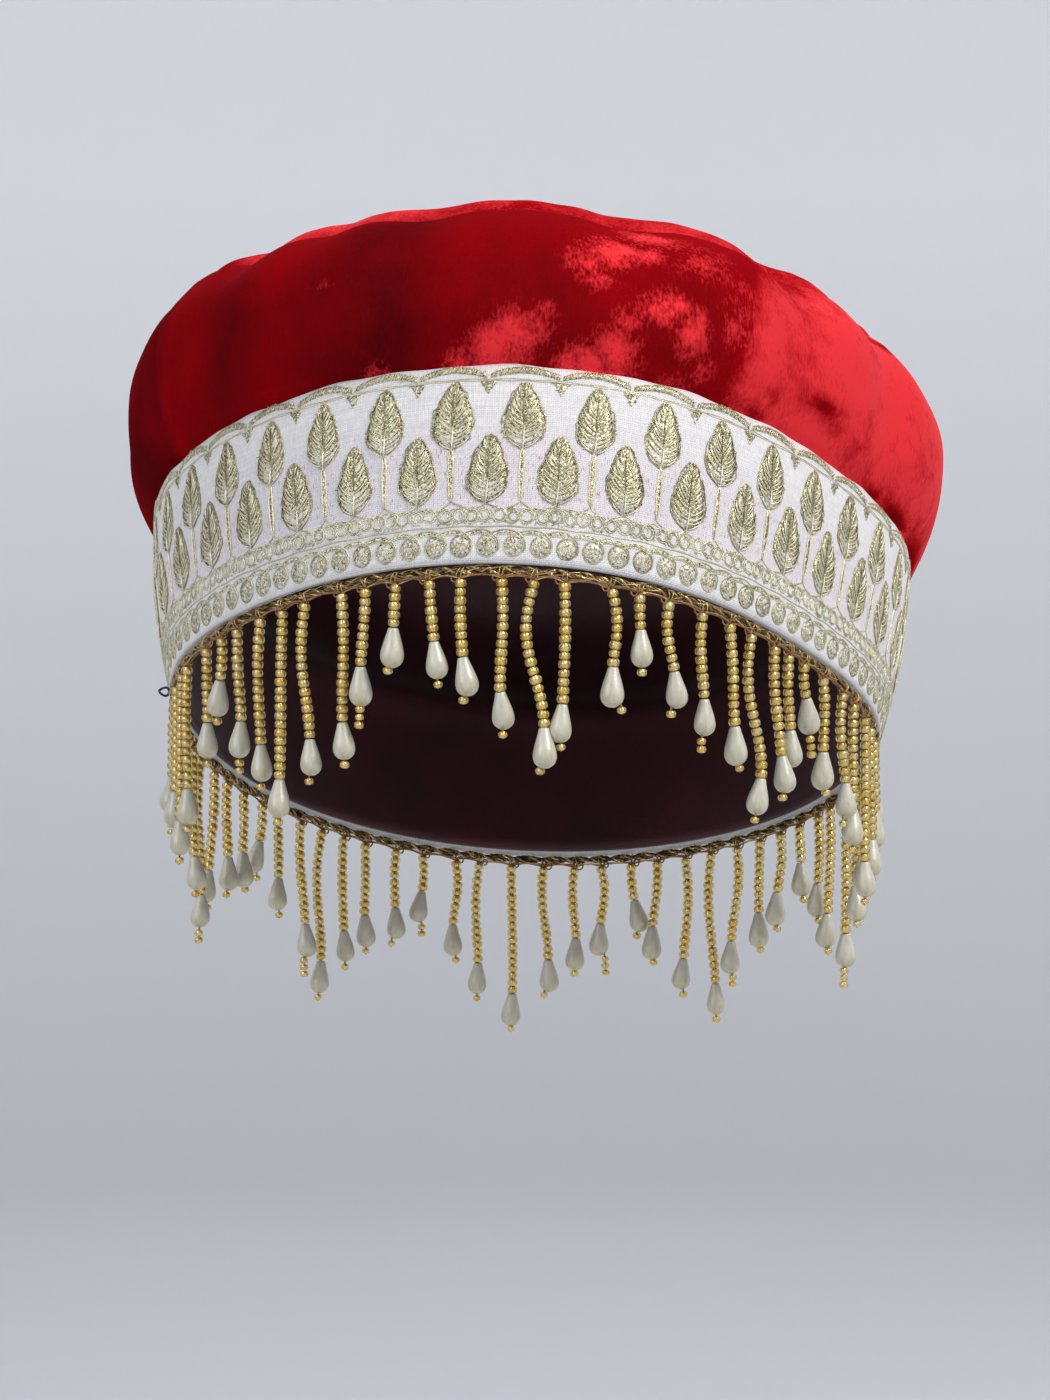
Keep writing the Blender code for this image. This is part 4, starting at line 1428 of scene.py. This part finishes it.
def makeBridges(arcs):
    # threads from strand to strand under the braid, low at the strands, and a copper loop beside each strand
    steps = 10
    share = np.linspace(0.0, 1.0, steps + 1)
    spans = np.append(arcs[1:], arcs[0] + rimLength) - arcs
    shape = tube(4, steps, 0.3)
    groups = {"copperBridges": [], "goldBridges": []}
    for name, drop, radius in fringe["bridges"]:
        centre, outward, down = braidFrame(arcs[:, None] + spans[:, None] * share)
        arch = np.abs(1.0 - 2.0 * share) ** dice.uniform(1.0, 2.2, (len(arcs), 1))
        low = fringe["braidHeight"] / 2 - 0.0004 + drop * arch * dice.uniform(0.7, 1.3, (len(arcs), 1))
        lift = dice.uniform(-0.0003, 0.0006, (len(arcs), 1)) + 0.0 * low
        path = centre + low[..., None] * down + lift[..., None] * outward
        placed = alongPaths(shape, path, outward, radius)
        groups[name].append((shape, placed, dice.uniform(0.5, 1.0, len(arcs))))
    loop = tube(4, 10, 0.0, True)
    centre, outward, down = braidFrame(arcs - 0.0015)
    size = dice.uniform(0.0006, 0.0009, (len(arcs), 1))
    ring = size[..., None] * between(wholeTurn(11), np.cross(outward, down)[:, None], 1.3 * down[:, None])
    hung = centre + (fringe["braidHeight"] / 2 + 0.0002) * down
    placed = alongPaths(loop, hung[:, None] + ring, unit(ring), 0.00022, 1.0, True)
    groups["copperBridges"].append((loop, placed, np.ones(len(arcs))))
    joinPiece("copperBridges", groups["copperBridges"], copperThread, "gold_beads")
    joinPiece("goldBridges", groups["goldBridges"], braidGold, "gold_beads")


def makeNavyLoop():
    # a loop of sewing cotton left standing at the rim's left corner, and the short end that holds it
    angle = np.radians([fringe["navyLoopAt"]])
    corner = place(angle, cap["rimHalfWidth"], 0.0 * angle - cap["gap"])
    outward, upward = outwardAt(angle), np.array((0.0, 0.0, 1.0))
    turn, size = wholeTurn(25), fringe["navyLoopRadius"]
    ring = size * between(turn, outward, 0.85 * upward)
    ring = ring + (0.0005 * np.sin(2 * turn))[:, None] * np.cross(outward, upward)
    loop, bar = tube(6, 24, 0.0, True), tube(6, 6, 0.3)
    path = corner + outward * size * 1.15 + ring
    placed = alongPaths(loop, path[None], unit(ring)[None], fringe["navyThread"], 1.0, True)
    share = np.linspace(0.0, 1.0, 7)[:, None]
    stem = corner + outward * mix(-0.0012, size * 0.3, share) - upward * 0.0006 * np.sin(math.pi * share)
    stemPlaced = alongPaths(bar, stem[None], np.broadcast_to(upward, (1, 7, 3)), 0.0003)
    groups = [(loop, placed, np.zeros(1)), (bar, stemPlaced, np.zeros(1))]
    joinPiece("navyLoop", groups, navyCotton, "lining_cloth", weld=True)


def makeFringe():
    at, arcs, beads, angle, root = hangingPaths(strandTable())
    makeBeads(at, beads)
    makePearls(at, beads)
    makeStrings(at, beads, angle)
    makeStrandLoops(angle, root)
    makeBridges(arcs)
    makeFibres()
    makeNavyLoop()


# studio

studio = {
    "floorHeight": -0.34,
    "radius": 2.6,
    "cove": 0.9,
    "wallHeight": 2.6,
    "frameHeight": 1400,
    "focalPixels": 3600.0,
    "sensor": 36.0,
    "eye": (-0.0015, -0.9, 0.0061),
    "world": (0.80, 0.81, 0.84),
    "worldStrength": 0.55,
    # name, place, size, power, colour
    "lights": (
        ("keyLight", (1.1, -0.9, 1.35), 0.9, 26.0, (1.0, 0.98, 0.96)),
        ("fillLight", (-1.4, -1.2, 0.7), 1.2, 9.0, (0.95, 0.97, 1.0)),
        ("topLight", (0.1, 0.5, 1.6), 1.1, 10.0, (1.0, 1.0, 1.0)),
    ),
    "aim": (0.0, 0.0, 0.03),
}


def makeStudio():
    bm = bmesh.new()
    bmesh.ops.create_circle(bm, cap_ends=True, segments=96, radius=studio["radius"] - studio["cove"])
    bmesh.ops.translate(bm, verts=bm.verts, vec=(0.0, 0.0, studio["floorHeight"]))
    edges = [edge for edge in bm.edges if edge.is_boundary]
    rows = [(math.sin(step), 1 - math.cos(step)) for step in np.linspace(0, math.pi / 2, 17)[1:]]
    rows.append((1.0, studio["wallHeight"] / studio["cove"]))
    for out, up in rows:
        made = bmesh.ops.extrude_edge_only(bm, edges=edges)["geom"]
        verts = [item for item in made if isinstance(item, bmesh.types.BMVert)]
        radius = studio["radius"] - studio["cove"] + studio["cove"] * out
        for vert in verts:
            flat = Vector((vert.co.x, vert.co.y, 0.0)).normalized() * radius
            vert.co = (flat.x, flat.y, studio["floorHeight"] + studio["cove"] * up)
        edges = [item for item in made if isinstance(item, bmesh.types.BMEdge)]
        edges = [edge for edge in edges if all(vert in verts for vert in edge.verts)]
    bmesh.ops.recalc_face_normals(bm, faces=bm.faces)
    bmesh.ops.reverse_faces(bm, faces=bm.faces)
    backdrop = objectFromBmesh("backdrop", bm)
    backdrop.data.shade_smooth()
    look, tree, shader = newMaterial("palePaper", colors["paperHigh"], 0.9)
    spot = coordinates(tree)
    up = addNode(tree, "ShaderNodeSeparateXYZ", {"Vector": spot}).outputs[2]
    # painted shade: the paper darker towards the floor, lighter upward
    litUpward = ramp(tree, up, studio["floorHeight"], 0.5)
    color = blendColors(tree, litUpward, colors["paperPaintedShade"], colors["paperHigh"])
    cloudy = ramp(tree, noise(tree, spot, 1.3, 2.0), 0.3, 0.7, 0.0, 0.06)
    tree.links.new(blendColors(tree, cloudy, color, colors["paperCloud"]), shader["Base Color"])
    backdrop.data.materials.append(look)
    backdrop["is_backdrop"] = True

    world = bpy.data.worlds.new("softRoom")
    world.use_nodes = True
    background = world.node_tree.nodes["Background"].inputs
    background["Color"].default_value = (*studio["world"], 1.0)
    background["Strength"].default_value = studio["worldStrength"]
    bpy.context.scene.world = world
    for name, spot, size, power, color in studio["lights"]:
        data = bpy.data.lights.new(name, "AREA")
        data.shape = "DISK"
        data.size = size
        data.energy = power
        data.color = color
        lamp = objectFrom(name, data)
        lamp.location = spot
        lamp.rotation_euler = (Vector(studio["aim"]) - Vector(spot)).to_track_quat("-Z", "Y").to_euler()

    data = bpy.data.cameras.new("photoView")
    data.sensor_width = studio["sensor"]
    data.lens = studio["focalPixels"] * studio["sensor"] / studio["frameHeight"]
    camera = objectFrom("photoView", data)
    camera.location = studio["eye"]
    camera.rotation_euler = (math.pi / 2, 0.0, 0.0)
    bpy.context.scene.camera = camera
    bpy.context.scene.view_settings.view_transform = "Standard"


makeStudio()
makeVelvetSide()
makeVelvetTop()
print("crown made")
trees = treeRows()
makeStitchPads(trees)
makeTrees(trees)
makeRingChain()
makeCoinRow()
makeTopBorder()
makeBandSheet()
print("band made")
makeLining()
makeBraid()
makeFringe()
print("fringe made")

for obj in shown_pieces():
    obj.data.calc_loop_triangles()
    print(obj.name, len(obj.data.loop_triangles))
